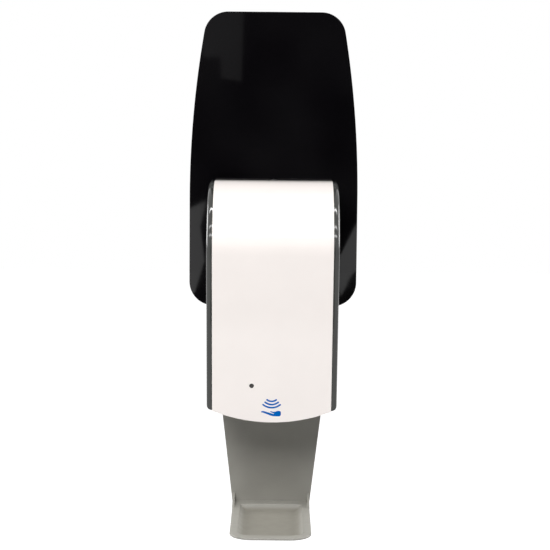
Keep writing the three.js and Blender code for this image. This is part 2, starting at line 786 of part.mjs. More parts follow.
function addTank() {
  const outer = slab('x', -tankHalf, tankHalf, tankOutline(0));
  const inner = slab('x', tank.wall - tankHalf, tankHalf - tank.wall, tankOutline(tank.wall));
  const neckTop = tankTop + tank.neckHeight;
  const neckLow = tankTop - tank.neckSink;
  const neck = rodUp(0, tank.neckOut, tank.neckRadius, neckLow, neckTop, facets.large);
  const mouth = rodUp(0, tank.neckOut, tank.neckRadius - tank.neckWall, neckLow - overrun,
    neckTop + overrun, facets.large);
  const outletEnd = tankBottom - tank.outletLength;
  const outlet = rodUp(0, pumpOut, tank.outletRadius, outletEnd, tankBottom + tank.wall / 2,
    facets.small);
  const bore = rodUp(0, pumpOut, tank.outletBore, outletEnd - overrun, tankBottom + tank.wall + overrun,
    facets.small);
  const ears = tankHoles.map(([x]) => slab('out', tank.back, tank.back + tank.earThickness,
    rect(x - tank.earHalfWidth, x + tank.earHalfWidth, tankTop - tank.wall / 2,
      tankTop + tank.earHeight)));
  const earHoles = tankHoles.map(([x, z]) => rodOut(x, z, tankScrew.shank + seat, tank.back - overrun,
    tank.back + tank.earThickness + overrun, facets.small));
  const whole = join(outer, neck, outlet, ...ears);
  add(dispenser, 'reservoir', cut(whole, inner, mouth, bore, ...earHoles), finishes.tank);
  tankHoles.forEach(([x, z], i) => {
    addScrew(dispenser, `reservoir_screw_${i + 1}`, tankScrew, x, tank.back + tank.earThickness + seat, z,
      false);
  });
  const capGroup = groupAt(dispenser, 0, tank.neckOut, neckTop);
  const sealTop = seat + seal.thickness;
  const capInside = sealTop + seat;
  const capLow = capInside + cap.top - cap.height;
  const ribbed = Array.from({ length: cap.ribs * 2 }, (_, i) => {
    const radius = cap.radius - (i % 2) * cap.ribDepth;
    const angle = 2 * quarterTurn * i / cap.ribs;
    return [radius * Math.cos(angle), radius * Math.sin(angle)];
  });
  const capBody = cut(slab('z', capLow, capInside + cap.top, ribbed),
    rodUp(0, 0, tank.neckRadius + seat, capLow - overrun, capInside, facets.large));
  add(capGroup, 'reservoir_cap', capBody, finishes.side);
  const ring = slab('z', seat, sealTop, circle(0, 0, tank.neckRadius, facets.large),
    circle(0, 0, seal.inner, facets.large));
  add(capGroup, 'cap_seal', ring, finishes.rubber);
}

// Drip tray

function trayRing(z, inset, rear, frontOut, corner) {
  const half = tray.halfWidth - inset;
  return roundRect(-half, half, rear, frontOut, tray.rearRadius, corner, facets.side)
    .map(([x, out]) => [x, out, z]);
}

function addTray() {
  const armSides = [
    [tray.armBottomHalfWidth, tray.rim - tray.lip],
    [tray.armTopHalfWidth, tray.armWidest],
    [tray.armTopHalfWidth, armTop],
  ];
  const arm = slab('out', tray.armBack, armFront,
    [...armSides, ...armSides.map(([x, z]) => [-x, z]).reverse()]);
  const flatten = ([x, out]) => new THREE.Vector2(-x, -out);
  const lowest = tray.rim - tray.depth;
  const outerRing = (z, inset, frontInset) => trayRing(z, inset, tray.armBack, tray.front - frontInset,
    tray.cornerRadius - inset);
  const shelf = loft([
    outerRing(tray.rim, 0, 0),
    outerRing(tray.rim - tray.lip, 0, 0),
    outerRing(tray.rim - tray.lip - tray.lipUnder, tray.bowlInset, tray.bowlInset),
    outerRing(lowest, tray.bowlInset + tray.bowlSideTaper, tray.bowlInset + tray.bowlFrontTaper),
  ], flatten);
  const dishRing = (drop, inset, frontInset) => trayRing(tray.rim - drop, tray.dishInset + inset,
    tray.dishRear + inset, tray.dishFront - frontInset, tray.dishCorner);
  const dish = loft([
    dishRing(-overrun, 0, 0),
    ...tray.dishDropShares.map((dropShare, i) => dishRing(dropShare * tray.dishDepth,
      tray.dishInsetShares[i] * tray.dishDepth, tray.dishFrontShares[i] * tray.dishDepth)),
  ], flatten);
  const gussets = [-1, 1].map((hand) => slab('x', hand * (tray.halfWidth - tray.gussetWidth),
    hand * tray.halfWidth, [
      [armFront - seat, tray.rim + tray.gussetHeight],
      [armFront + tray.gussetReach, tray.rim],
      [armFront + tray.gussetReach, tray.rim - tray.lip / 2],
      [armFront - seat, tray.rim - tray.lip / 2],
    ]));
  const holes = trayHoles.map(([x, z]) => sunkHole(x, z, trayScrew, tray.armBack));
  add(dispenser, 'drip_tray', cut(join(arm, shelf, ...gussets), dish, ...holes), finishes.tray);
  trayHoles.forEach(([x, z], i) => {
    addScrew(dispenser, `tray_screw_${i + 1}`, trayScrew, x, tray.armBack + trayScrew.headHeight + seat, z,
      true);
  });
}

// Gear pump, motor, hoses and nozzle

function gearOutline(startAngle) {
  const { teeth, module, addendumShare, dedendumShare, thinning, pressureAngle } = pump;
  const base = gearPitch * Math.cos(pressureAngle);
  const tip = gearPitch + addendumShare * module;
  const root = gearPitch - dedendumShare * module;
  const involute = (angle) => Math.tan(angle) - angle;
  const halfAtPitch = quarterTurn / teeth - thinning / (2 * gearPitch);
  const halfAt = (radius) =>
    halfAtPitch + involute(pressureAngle) - involute(Math.acos(Math.min(base / radius, 1)));
  const flank = [base, gearPitch, tip];
  const points = [];
  for (let tooth = 0; tooth < teeth; tooth++) {
    const middle = startAngle + 4 * quarterTurn * tooth / teeth;
    const place = (radius, angle) => [radius * Math.cos(middle + angle), radius * Math.sin(middle + angle)];
    points.push(place(root, -halfAt(base)));
    for (const radius of flank) points.push(place(radius, -halfAt(radius)));
    for (const radius of [...flank].reverse()) points.push(place(radius, halfAt(radius)));
    points.push(place(root, halfAt(base)));
  }
  return points;
}

function addPump() {
  const group = groupAt(dispenser, 0, pumpOut, pumpZ);
  const halfGear = pump.gearWidth / 2;
  const tipRadius = gearPitch + pump.addendumShare * pump.module;
  const chamberRadius = tipRadius + pump.chamberGap;
  const plateFront = -halfGear - seat;
  const plateBack = plateFront - pump.plate;
  const bodyFront = halfGear + seat + pump.wall;
  const chamber = [-1, 1].map((hand) =>
    rodOut(hand * gearPitch, 0, chamberRadius, plateFront - overrun, halfGear + seat, facets.round));
  const outline = roundRect(-pump.halfWidth, pump.halfWidth, -pump.halfHeight, pump.halfHeight,
    pump.wall, pump.wall, facets.corner);
  const barbEnd = pump.halfHeight + pump.barbLength;
  const barbs = [-1, 1].map((hand) =>
    rodUp(0, 0, pump.barbRadius, hand * (pump.halfHeight - overrun), hand * barbEnd, facets.small));
  const bores = [-1, 1].map((hand) =>
    rodUp(0, 0, pump.boreRadius, 0, hand * (barbEnd + overrun), facets.small));
  const axleHole = rodOut(gearPitch, 0, pump.shaftRadius + seat, halfGear, halfGear + pump.wall / 2,
    facets.small);
  const screwX = pump.halfWidth - pump.wall / 2;
  const screwPlaces = [[-screwX, pump.halfHeight - pump.wall], [screwX, -pump.halfHeight + pump.wall]];
  const screwHoles = (from, to) => screwPlaces.map(([x, z]) =>
    rodOut(x, z, pumpScrew.shank + seat, from, to, facets.fine));
  const housing = join(slab('out', plateFront + seat, bodyFront, outline), ...barbs);
  add(group, 'pump_body', cut(housing, ...chamber, ...bores, axleHole,
    ...screwHoles(plateFront - overrun, bodyFront + overrun)), finishes.housing);
  const plate = cut(slab('out', plateBack, plateFront, outline),
    rodOut(-gearPitch, 0, pump.shaftRadius + seat, plateBack - overrun, plateFront + overrun, facets.small),
    rodOut(gearPitch, 0, pump.shaftRadius + seat, plateBack + pump.plate / 4, plateFront + overrun,
      facets.small),
    ...screwHoles(plateBack - overrun, plateFront + overrun));
  add(group, 'pump_plate', plate, finishes.housing);
  screwPlaces.forEach(([x, z], i) => {
    addScrew(group, `pump_screw_${i + 1}`, pumpScrew, x, bodyFront + seat, z, false);
  });
  const drive = groupAt(group, -gearPitch, 0, 0);
  const driveGear = slab('out', -halfGear, halfGear, gearOutline(0));
  const shaft = rodOut(0, 0, pump.shaftRadius, plateBack - motor.nose, halfGear, facets.small);
  add(drive, 'drive_gear', join(driveGear, shaft), finishes.gear);
  const driven = groupAt(group, gearPitch, 0, 0);
  const drivenGear = cut(slab('out', -halfGear, halfGear, gearOutline(2 * quarterTurn / pump.teeth)),
    rodOut(0, 0, pump.shaftRadius + seat, -halfGear - overrun, halfGear + overrun, facets.small));
  add(driven, 'driven_gear', drivenGear, finishes.gear);
  const axle = rodOut(0, 0, pump.shaftRadius, plateBack + pump.plate / 2, halfGear + pump.wall / 2 - seat,
    facets.small);
  add(driven, 'gear_axle', axle, finishes.steel);

  const motorFront = plateBack - seat;
  const motorBack = motorFront - motor.length;
  const round = rodOut(0, 0, motor.radius, motorBack, motorFront, facets.large);
  const band = slab('out', motorBack - overrun, motorFront + overrun,
    rect(-motor.radius - overrun, motor.radius + overrun, -motor.flat, motor.flat));
  const capBack = motorBack - motor.capLength;
  const endCap = slab('out', capBack, motorBack + overrun, roundRect(-motor.capRadius, motor.capRadius,
    seat - motor.flat, motor.flat - seat, motor.capLength, motor.capLength, facets.corner));
  const can = cut(join(round.intersect(band), endCap),
    rodOut(0, 0, pump.shaftRadius + seat, motorFront - motor.nose, motorFront + overrun, facets.small));
  add(drive, 'motor', can, finishes.steel);
  return { barbTop: pumpZ + barbEnd, barbLow: pumpZ - barbEnd, motorCapBack: pumpOut + capBack };
}

function addHoses(pumpEnds) {
  const inner = pump.barbRadius + hose.gap;
  const sleeve = (from, to) => slab('z', from, to, circle(0, 0, inner + hose.wall, facets.small),
    circle(0, 0, inner, facets.small));
  const outletEnd = tankBottom - tank.outletLength;
  const group = groupAt(dispenser, 0, pumpOut, 0);
  add(group, 'inlet_hose', sleeve(pumpEnds.barbTop - hose.overlap, outletEnd + hose.overlap),
    finishes.silicone);
  const flangeTop = boxFloor + seat + nozzle.flangeHeight;
  const barbTop = flangeTop + (pumpEnds.barbLow - flangeTop) / 2;
  const tipLow = boxBottom - nozzle.length;
  const profile = [
    [0, tipLow],
    [nozzle.tip, tipLow],
    [nozzle.tip, tipLow + nozzle.tipHeight],
    [nozzle.radius, tipLow + 2 * nozzle.tipHeight],
    [nozzle.radius, flangeTop - nozzle.flangeHeight],
    [nozzle.flange, flangeTop - nozzle.flangeHeight],
    [nozzle.flange, flangeTop],
    [pump.barbRadius, flangeTop],
    [pump.barbRadius, barbTop],
    [0, barbTop],
  ];
  const spout = cut(turnedUp(0, 0, profile, facets.round),
    rodUp(0, 0, nozzle.bore, tipLow - overrun, barbTop + overrun, facets.small));
  add(group, 'nozzle', spout, finishes.chassis);
  add(group, 'outlet_hose', sleeve(flangeTop + seat, pumpEnds.barbLow + hose.overlap), finishes.silicone);
}

// Mechanism box and its lid

const batteryFront = frontInner - seat;
const batteryBack = batteryFront - batteryOuter + battery.wall;
const batteryLow = boxFloor + battery.footHeight;
const cellEndGap = battery.contactThickness + battery.nubHeight + 2 * seat;
const batteryHeight = battery.cellLength + 2 * cellEndGap + 2 * battery.wall;
const batteryHigh = batteryLow + batteryHeight;
const switchX = powerSwitch.inset - boxHalf;
const switchZ = boxTop - powerSwitch.drop;
const knobWindow = {
  x0: switchX - powerSwitch.knobHalf - seat,
  x1: switchX + powerSwitch.knobHalf + powerSwitch.travel + seat,
  z0: switchZ - powerSwitch.knobHeight - seat,
  z1: switchZ + powerSwitch.knobHeight + seat,
};
const boardLeft = box.wall + seat - boxHalf;
const boardRight = -gearPitch - motor.radius - mainBoard.motorGap;
const boardLow = boxFloor + mainBoard.lowGap;
const boardHigh = boxTop - mainBoard.highGap;
const boardOut = boxBack + box.wall + mainBoard.standoff;

function addBox() {
  const inner = boxHalf - box.wall;
  const backInner = boxBack + box.wall;
  const shell = cut(
    block(-boxHalf, boxHalf, boxBack, boxFront, boxBottom, boxTop),
    block(-inner, inner, backInner, frontInner, boxFloor, boxTop + overrun));
  const through = (outline) => slab('out', frontInner - overrun, boxFront + overrun, outline);
  const cellWindow = through(rect(batteryLeft + battery.wall, batteryRight - battery.wall,
    batteryLow + battery.wall, batteryHigh - battery.wall));
  const switchWindow = through(rect(knobWindow.x0, knobWindow.x1, knobWindow.z0, knobWindow.z1));
  const lampHole = through(circle(lens.x, lens.z, lamp.radius + seat, facets.small));
  const nozzleHole = rodUp(0, pumpOut, nozzle.radius + seat, boxBottom - overrun, boxFloor + overrun,
    facets.round);
  const eyeWindow = block(-windowPlate.halfWidth - seat, windowPlate.halfWidth + seat,
    sensorPlace(windowPlate.backShare) - seat, sensorPlace(windowPlate.frontShare) + seat,
    boxBottom - overrun, boxFloor + overrun);
  const screwHoles = boxHoles.map(([x, z]) => rodOut(x, z, boxScrew.shank + seat, boxBack - overrun,
    backInner + overrun, facets.small));
  const boardPosts = [boardLow + mainBoard.post * 2, boardHigh - mainBoard.post * 2].map((z) =>
    rodOut((boardLeft + boardRight) / 2, z, mainBoard.post, boxBack + box.wall / 2,
      boardOut - seat, facets.fine));
  const sensorPosts = [sensorBoard.left, -windowPlate.halfWidth - 4 * sensorBoard.post].map((x) =>
    rodUp(x + 2 * sensorBoard.post, sensorFront - sensorBoard.post,
      sensorBoard.post, boxFloor - box.wall / 2, boxFloor + sensorBoard.lift - seat, facets.fine));
  const cradleX = -gearPitch;
  const cradleTop = pumpZ - motor.flat - seat;
  const cradle = block(cradleX - motor.flat, cradleX + motor.flat, boxBack + box.wall / 2,
    pumpOut - pump.gearWidth, boxFloor - box.wall / 2, cradleTop);
  const cradleHollow = block(cradleX - motor.flat + box.wall, cradleX + motor.flat - box.wall,
    backInner + box.wall, pumpOut - pump.gearWidth + overrun, boxFloor, cradleTop + overrun);
  const batteryFoot = block(batteryLeft + battery.wall, batteryRight - battery.wall,
    batteryBack + battery.wall, batteryFront - 2 * battery.wall, boxFloor - box.wall / 2, batteryLow - seat);
  const whole = join(cut(shell, cellWindow, switchWindow, lampHole, nozzleHole, eyeWindow), ...boardPosts,
    ...sensorPosts, cut(cradle, cradleHollow), batteryFoot);
  add(dispenser, 'mechanism_box', cut(whole, ...screwHoles), finishes.housing);
  const lidLow = boxTop + seat;
  const lid = cut(
    block(-boxHalf, boxHalf, boxBack, boxFront, lidLow, lidTop),
    rodUp(0, pumpOut, tank.outletRadius + seat, lidLow - overrun, lidTop + overrun, facets.small));
  const rim = cut(
    block(seat - inner, inner - seat, backInner + seat, frontInner - seat, lidLow - box.wall, lidLow + seat),
    block(box.wall - inner, inner - box.wall, backInner + box.wall, frontInner - box.wall,
      lidLow - box.wall - overrun, lidLow + 2 * seat));
  add(dispenser, 'box_lid', join(lid, rim), finishes.housing);
  boxHoles.forEach(([x, z], i) => {
    addScrew(dispenser, `box_screw_${i + 1}`, boxScrew, x, backInner + seat, z, false);
  });
}

// Boards, infrared pair, status lamp and power switch

function addElectronics() {
  add(dispenser, 'main_board', slab('out', boardOut, boardOut + mainBoard.thickness,
    rect(boardLeft, boardRight, boardLow, boardHigh)), finishes.circuit);
  const chipBack = boardOut + mainBoard.thickness + seat;
  const chipX = (boardLeft + boardRight) / 2;
  const chipZ = (boardLow + boardHigh) / 2 + chip.rise;
  add(dispenser, 'controller_chip', slab('out', chipBack, chipBack + chip.thickness,
    rect(chipX - chip.width / 2, chipX + chip.width / 2, chipZ - chip.height / 2,
      chipZ + chip.height / 2)), finishes.chip);
  const sensorLow = boxFloor + sensorBoard.lift;
  const sensorHigh = sensorLow + sensorBoard.thickness;
  const legHoles = [-1, 1].map((hand) => rodUp(lens.x + hand * lamp.legSpacing, legOut,
    lamp.legRadius + seat, sensorLow - overrun, sensorHigh + overrun, facets.fine));
  add(dispenser, 'sensor_board', cut(
    block(sensorBoard.left, sensorBoard.right, sensorPlace(sensorBoard.backShare), sensorFront,
      sensorLow, sensorHigh), ...legHoles), finishes.circuit);
  for (const [name, hand] of [['infrared_emitter', -1], ['infrared_receiver', 1]]) {
    const top = sensorLow - seat;
    const out = sensorPlace(eye.outShare);
    const barrel = rodUp(hand * eye.x, out, eye.radius, top - eye.height + eye.tipLength, top,
      facets.small);
    const tip = rodUp(hand * eye.x, out, eye.tipRadius, top - eye.height, top, facets.small);
    add(dispenser, name, join(barrel, tip), finishes.window);
  }
  add(dispenser, 'sensor_window', block(-windowPlate.halfWidth, windowPlate.halfWidth,
    sensorPlace(windowPlate.backShare), sensorPlace(windowPlate.frontShare), boxBottom,
    boxBottom + windowPlate.thickness), finishes.window);
  const lampFront = boxFront + lamp.standoff;
  const lampBack = lampFront - lamp.length;
  const legs = [-1, 1].map((hand) => rodUp(lens.x + hand * lamp.legSpacing, legOut, lamp.legRadius,
    sensorLow, lens.z, facets.fine));
  add(dispenser, 'status_lamp', join(rodOut(lens.x, lens.z, lamp.radius, lampBack, lampFront,
    facets.small), ...legs), finishes.lens);
  const { halfWidth, halfHeight, depth, knobHalf, knobHeight, knobReach, travel } = powerSwitch;
  const switchFront = frontInner - seat;
  const slot = block(knobWindow.x0, knobWindow.x1, switchFront - depth / 2, switchFront + overrun,
    knobWindow.z0, knobWindow.z1);
  const housing = block(switchX - halfWidth, switchX + halfWidth + travel, switchFront - depth, switchFront,
    switchZ - halfHeight, switchZ + halfHeight);
  add(dispenser, 'switch_body', cut(housing, slot), finishes.chip);
  add(dispenser, 'switch_slider', block(switchX - knobHalf, switchX + knobHalf,
    switchFront - depth / 2 + seat, boxFront + knobReach, switchZ - knobHeight, switchZ + knobHeight),
    finishes.panel);
}

// Battery box, cells, contacts and sliding lid

function addBattery() {
  const inLeft = batteryLeft + battery.wall;
  const inRight = batteryRight - battery.wall;
  const inLow = batteryLow + battery.wall;
  const inHigh = batteryHigh - battery.wall;
  const tub = cut(
    block(batteryLeft, batteryRight, batteryBack, batteryFront, batteryLow, batteryHigh),
    block(inLeft, inRight, batteryBack + battery.wall, batteryFront + overrun, inLow, inHigh));
  add(dispenser, 'battery_box', tub, finishes.housing);
  const cellLow = inLow + cellEndGap;
  const firstX = inLeft + seat + battery.cellRadius;
  const firstOut = batteryBack + battery.wall + seat + battery.cellRadius;
  let number = 1;
  for (const column of [0, 1]) {
    for (const row of [0, 1]) {
      const group = groupAt(dispenser, firstX + column * battery.pitch, firstOut + row * battery.pitch,
        cellLow);
      const up = column === row;
      const nubZ = up ? battery.cellLength : -battery.nubHeight;
      const can = rodUp(0, 0, battery.cellRadius, 0, battery.cellLength, facets.round);
      const nub = rodUp(0, 0, battery.nubRadius, nubZ - (up ? overrun : 0),
        nubZ + battery.nubHeight + (up ? 0 : overrun), facets.small);
      add(group, `battery_cell_${number}`, join(can, nub), finishes.cell);
      number += 1;
    }
  }
  const strip = (low) => block(inLeft + seat, inRight - seat, batteryBack + battery.wall + seat,
    batteryFront - battery.wall, low, low + battery.contactThickness);
  add(dispenser, 'battery_contacts_lower', strip(inLow + seat / 2), finishes.brass);
  add(dispenser, 'battery_contacts_upper', strip(inHigh - seat / 2 - battery.contactThickness),
    finishes.brass);
  const lidBack = boxFront + seat;
  const lidFront = lidBack + battery.lidThickness;
  const lidPlate = block(batteryLeft - battery.lidSideMargin, batteryRight + battery.lidSideMargin,
    lidBack, lidFront, batteryLow + battery.lidMargin, batteryHigh + battery.lidMargin);
  const tongue = block(inLeft + seat, inRight - seat, frontInner, lidBack + seat,
    inLow + battery.lidTravel + seat, inLow + battery.lidTravel + battery.tongue);
  const gripZ = batteryHigh - battery.lidMargin;
  const grip = block(inLeft + battery.lidMargin, inRight - battery.lidMargin, lidFront - seat,
    lidFront + battery.grip, gripZ - battery.grip, gripZ);
  add(dispenser, 'battery_lid', join(lidPlate, tongue, grip), finishes.chassis);
}

// Leads, as round wires along a smooth route of [x, out, z] points

function wire(points) {
  const route = new THREE.CatmullRomCurve3(points.map(([x, out, z]) => new THREE.Vector3(x, -out, z)));
  const section = new THREE.Shape(circle(0, 0, lead.radius, lead.sides)
    .map(([u, v]) => new THREE.Vector2(u, v)));
  const run = { steps: lead.steps, extrudePath: route, bevelEnabled: false };
  return solidOf(new THREE.ExtrudeGeometry(section, run));
}

function addLeads(pumpEnds) {
  const boardFace = boardOut + mainBoard.thickness + seat;
  const capX = -gearPitch - motor.capRadius - seat;
  const capOut = pumpEnds.motorCapBack + motorLead.capOverlap;
  const motorRise = pumpZ + motorLead.rise;
  add(dispenser, 'motor_lead', wire([
    [boardRight - motorLead.inset, boardFace, motorRise],
    [boardRight - motorLead.bend, boardFace + motorLead.lift, motorRise],
    [boardRight - motorLead.near, boardFace + motorLead.reach, motorRise - motorLead.fall],
    [capX - motorLead.end, capOut, pumpZ + motorLead.near],
    [capX, capOut, pumpZ],
  ]), finishes.lead);
  const sensorTop = boxFloor + sensorBoard.lift + sensorBoard.thickness + seat;
  const sensorBoardBack = sensorPlace(sensorBoard.backShare);
  const leadX = boardRight - sensorLead.inset;
  const landingX = leadX + 2 * sensorLead.shift;
  const sensorRise = boardLow + sensorLead.rise;
  add(dispenser, 'sensor_lead', wire([
    [leadX, boardFace, sensorRise],
    [leadX, boardFace + sensorLead.lift, sensorRise],
    [leadX, boardFace + sensorLead.reach, sensorRise - sensorLead.dip],
    [leadX + sensorLead.shift, sensorBoardBack - sensorLead.nearGap, sensorRise - sensorLead.bend],
    [landingX, sensorBoardBack + sensorLead.bend, sensorTop + sensorLead.bend],
    [landingX, sensorBoardBack + sensorLead.landing, sensorTop],
  ]), finishes.lead);
}

addBoard();
addChassis();
addLock();
addCover();
addTank();
addTray();
const pumpEnds = addPump();
addHoses(pumpEnds);
addBox();
addElectronics();
addBattery();
addLeads(pumpEnds);

export default dispenser;
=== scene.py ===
import json
import math
from functools import cache

import bmesh
import bpy
from bpy.props import FloatProperty, FloatVectorProperty, IntProperty, PointerProperty
from mathutils import Matrix, Vector

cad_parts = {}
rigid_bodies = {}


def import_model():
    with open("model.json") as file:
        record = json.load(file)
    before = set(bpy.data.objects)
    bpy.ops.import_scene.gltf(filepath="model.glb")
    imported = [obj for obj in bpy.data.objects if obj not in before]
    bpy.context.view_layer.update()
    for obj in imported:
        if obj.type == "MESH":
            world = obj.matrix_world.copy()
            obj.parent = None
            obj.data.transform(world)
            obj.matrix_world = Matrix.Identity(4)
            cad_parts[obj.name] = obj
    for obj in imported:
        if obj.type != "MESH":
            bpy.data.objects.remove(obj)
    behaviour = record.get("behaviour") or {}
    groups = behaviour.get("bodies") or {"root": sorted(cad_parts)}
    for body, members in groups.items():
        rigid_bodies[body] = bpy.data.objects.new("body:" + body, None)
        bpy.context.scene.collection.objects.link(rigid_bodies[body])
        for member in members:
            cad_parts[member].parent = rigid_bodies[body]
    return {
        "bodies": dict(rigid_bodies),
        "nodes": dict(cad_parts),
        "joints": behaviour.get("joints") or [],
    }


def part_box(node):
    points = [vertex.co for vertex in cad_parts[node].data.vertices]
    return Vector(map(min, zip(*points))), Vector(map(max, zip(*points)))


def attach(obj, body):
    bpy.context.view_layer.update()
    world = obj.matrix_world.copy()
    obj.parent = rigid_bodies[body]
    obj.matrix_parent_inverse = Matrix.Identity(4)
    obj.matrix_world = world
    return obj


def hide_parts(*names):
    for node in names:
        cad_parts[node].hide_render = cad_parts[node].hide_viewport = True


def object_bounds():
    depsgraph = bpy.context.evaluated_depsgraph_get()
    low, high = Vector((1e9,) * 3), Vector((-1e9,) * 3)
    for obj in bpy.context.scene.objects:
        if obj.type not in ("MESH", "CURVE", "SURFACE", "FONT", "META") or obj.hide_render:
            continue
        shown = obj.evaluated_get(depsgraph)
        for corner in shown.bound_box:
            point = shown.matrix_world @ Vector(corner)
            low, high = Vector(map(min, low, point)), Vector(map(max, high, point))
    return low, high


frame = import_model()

bl_info = {
    "name": "Soap Dispenser Dressing",
    "version": (1, 0, 0),
    "blender": (4, 5, 0),
    "location": "3D View > Sidebar > Dispenser",
    "description": "Finishes an automatic soap dispenser on a backing board and sets up its studio",
    "category": "Object",
}

# Metres. X is to the right, Z is up, and a place is given by how far it stands out from the wall, -Y.
MM = 0.001
OVERRUN = 1 * MM
FAR_OVERRUN = 10 * MM
SEAT = 0.3 * MM
WELD = 0.001 * MM
QUARTER = math.pi / 2
EDGE_STEPS = 6
END_STEPS = 8
FINE_STEPS = 24
BEND_STEPS = 48
ROUND_SIDES = 64
SHANK_DEPTHS = 4

# Only the frame stays of a new Blender file
kept = [*frame["nodes"].values(), *frame["bodies"].values()]
for thing in list(bpy.data.objects):
    if thing not in kept:
        bpy.data.objects.remove(thing)
CAD_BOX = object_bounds()

# Sizes that the frame gives
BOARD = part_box("back_board")[1]
BOARD_FRONT = -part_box("back_board")[0].y
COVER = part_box("cover_front")
FRONT = -COVER[0].y
TOP = COVER[1].z
BOTTOM = COVER[0].z
PANEL_HALF = COVER[1].x
SIDE_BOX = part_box("cover_side_right")
SIDE_OUTER = SIDE_BOX[1].x
SIDE_BACK = -SIDE_BOX[1].y
SIDE_DROP = TOP - SIDE_BOX[1].z
TRAY_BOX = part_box("drip_tray")
TANK_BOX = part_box("reservoir")


def linear(*levels):
    """A colour in Blender's linear values from levels of 0 to 255."""
    shares = [level / 255 for level in levels]
    return tuple(s / 12.92 if s <= 0.04045 else ((s + 0.055) / 1.055) ** 2.4 for s in shares)


def number(name, description, default, **more):
    return FloatProperty(name=name, description=description, default=default, **more)


def length(name, description, millimetres):
    return number(name, description, millimetres * MM, unit="LENGTH", precision=5)


def slant(name, description, degrees):
    return number(name, description, math.radians(degrees), subtype="ANGLE")


def colour(name, description, *levels):
    """A colour that is given in levels of 0 to 255."""
    return FloatVectorProperty(
        name=name, description=description, default=linear(*levels), subtype="COLOR", min=0, max=1
    )


class DispenserSizes(bpy.types.PropertyGroup):
    """Sizes of the visible shells that the frame's boxes don't give"""

    board_corner: length("Board corner", "Radius of the board's corners", 25)
    board_side: length("Board side", "Radius of the board's curved upper sides", 1015)
    board_curve_start: length("Board curve", "Where its sides start to curve", -40)
    board_edge: length("Board edge", "Rounding of the board's edges", 0.6)
    flat_top: length("Flat top", "Depth of the cover's flat top", 20)
    arch: length("Arch", "Radius of the cover's lower edge", 165.1)
    narrowing: length("Narrowing", "How much each side narrows", 1.05)
    panel_wall: length("Panel wall", "Thickness of the front panel", 2.5)
    panel_rear: length("Panel rear edge", "Place of the panel's rear edge", 18)
    panel_edge: length("Panel edge", "Rounding of the panel's edges", 0.5)
    screw_hole: length("Screw hole", "Radius of the cover's screw holes", 1.2)
    side_gap: length("Side gap", "Gap beside the panel", 0.6)
    side_wall: length("Side wall", "Thickness of the side pieces", 2.5)
    side_edge: length("Side edge", "Radius of their outer edge", 4)
    side_corner: length("Side corner", "Radius of their lower corner", 6)
    ledge_width: length("Ledge width", "Width of the ledge under the panel", 6.6)
    ledge_thickness: length("Ledge thickness", "Thickness of that ledge", 2)
    arm_thickness: length("Arm thickness", "Thickness of the tray's arm", 3.3)
    arm_widest: length("Arm shoulder", "Where the arm starts to taper", -240)
    arm_bottom: length("Arm bottom", "Its half width at the tray", 40.5)
    tray_half: length("Tray half width", "Half width of the tray", 40.2)
    tray_corner: length("Tray corner", "Radius of its front corners", 22)
    tray_depth: length("Tray depth", "Height up to its rim", 8)
    lip: length("Lip", "Height of the tray's lip", 1.9)
    # Depths under the tray's rim where its painted shade and dried soap start and are full
    soap_and_shade_top: length("Film top", "Depth where the film starts", 2.4)
    soap_and_shade_full: length("Film full", "Depth where the film is full", 4.6)
    print_height: length("Print height", "Height of the print on the panel", 0.05)
    floor_drop: length("Floor drop", "Distance from the tray to the floor", 450)


class DispenserColours(bpy.types.PropertyGroup):
    """Colours of the finishes"""

    board: colour("Board", "Glossy black", 6, 5, 7)
    panel: colour("Panel", "Glossy white", 247, 240, 236)
    side: colour("Side pieces", "Glossy dark grey", 54, 55, 53)
    tray: colour("Drip tray", "Satin grey", 153, 151, 144)
    # Dried soap and painted shade, low in the tray's dish and under its lip
    soap_and_shade: colour("Soap film", "Dried soap in the tray", 136, 133, 124)
    chassis: colour("Chassis", "Dark moulded plastic", 43, 44, 45)
    housing: colour("Housing", "Light moulded plastic", 208, 208, 205)
    tank: colour("Reservoir", "Frosted plastic", 224, 229, 231)
    sign: colour("Sign", "Printed hand sign", 0, 98, 182)
    circuit: colour("Circuit boards", "Solder mask", 22, 84, 50)
    cell: colour("Cells", "Their printed sleeves", 52, 96, 150)
    lead: colour("Leads", "Their insulation", 158, 28, 30)


# Outlines and solids

def place(x, out, z):
    return Vector((x, -out, z))


def numbered(start):
    """The nodes whose names start alike and end in a number, in order."""
    return sorted(name for name in frame["nodes"] if name.startswith(start))


def middle(node):
    """The centre of a node's box, as x, out and z."""
    low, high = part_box(node)
    centre = (low + high) / 2
    return centre.x, -centre.y, centre.z


def arc(u, v, radius, start, end, steps):
    angles = [start + (end - start) * step / steps for step in range(steps + 1)]
    return [(u + radius * math.cos(a), v + radius * math.sin(a)) for a in angles]


def quarter_turns(steps):
    return [QUARTER * step / steps for step in range(steps + 1)]


def circle(u, v, radius):
    return arc(u, v, radius, 0, 4 * QUARTER, ROUND_SIDES)[1:]


def rectangle(u0, u1, v0, v1):
    return [(u0, v0), (u1, v0), (u1, v1), (u0, v1)]


def rounded(u0, u1, v0, v1, low, high):
    """A rectangle with its two low corners rounded by one radius and its two high ones by another."""
    corners = (
        (u0 + low, v0 + low, low, 2),
        (u1 - low, v0 + low, low, -1),
        (u1 - high, v1 - high, high, 0),
        (u0 + high, v1 - high, high, 1),
    )
    return [
        point for u, v, radius, turn in corners
        for point in arc(u, v, radius, turn * QUARTER, (turn + 1) * QUARTER, FINE_STEPS)
    ]


def add(thing):
    bpy.context.scene.collection.objects.link(thing)
    return thing


def new_piece(name, places, faces):
    """A mesh object with its faces pointing out."""
    mesh = bpy.data.meshes.new(name)
    mesh.from_pydata(places, [], faces)
    shape = bmesh.new()
    shape.from_mesh(mesh)
    bmesh.ops.recalc_face_normals(shape, faces=shape.faces)
    shape.to_mesh(mesh)
    shape.free()
    return add(bpy.data.objects.new(name, mesh))


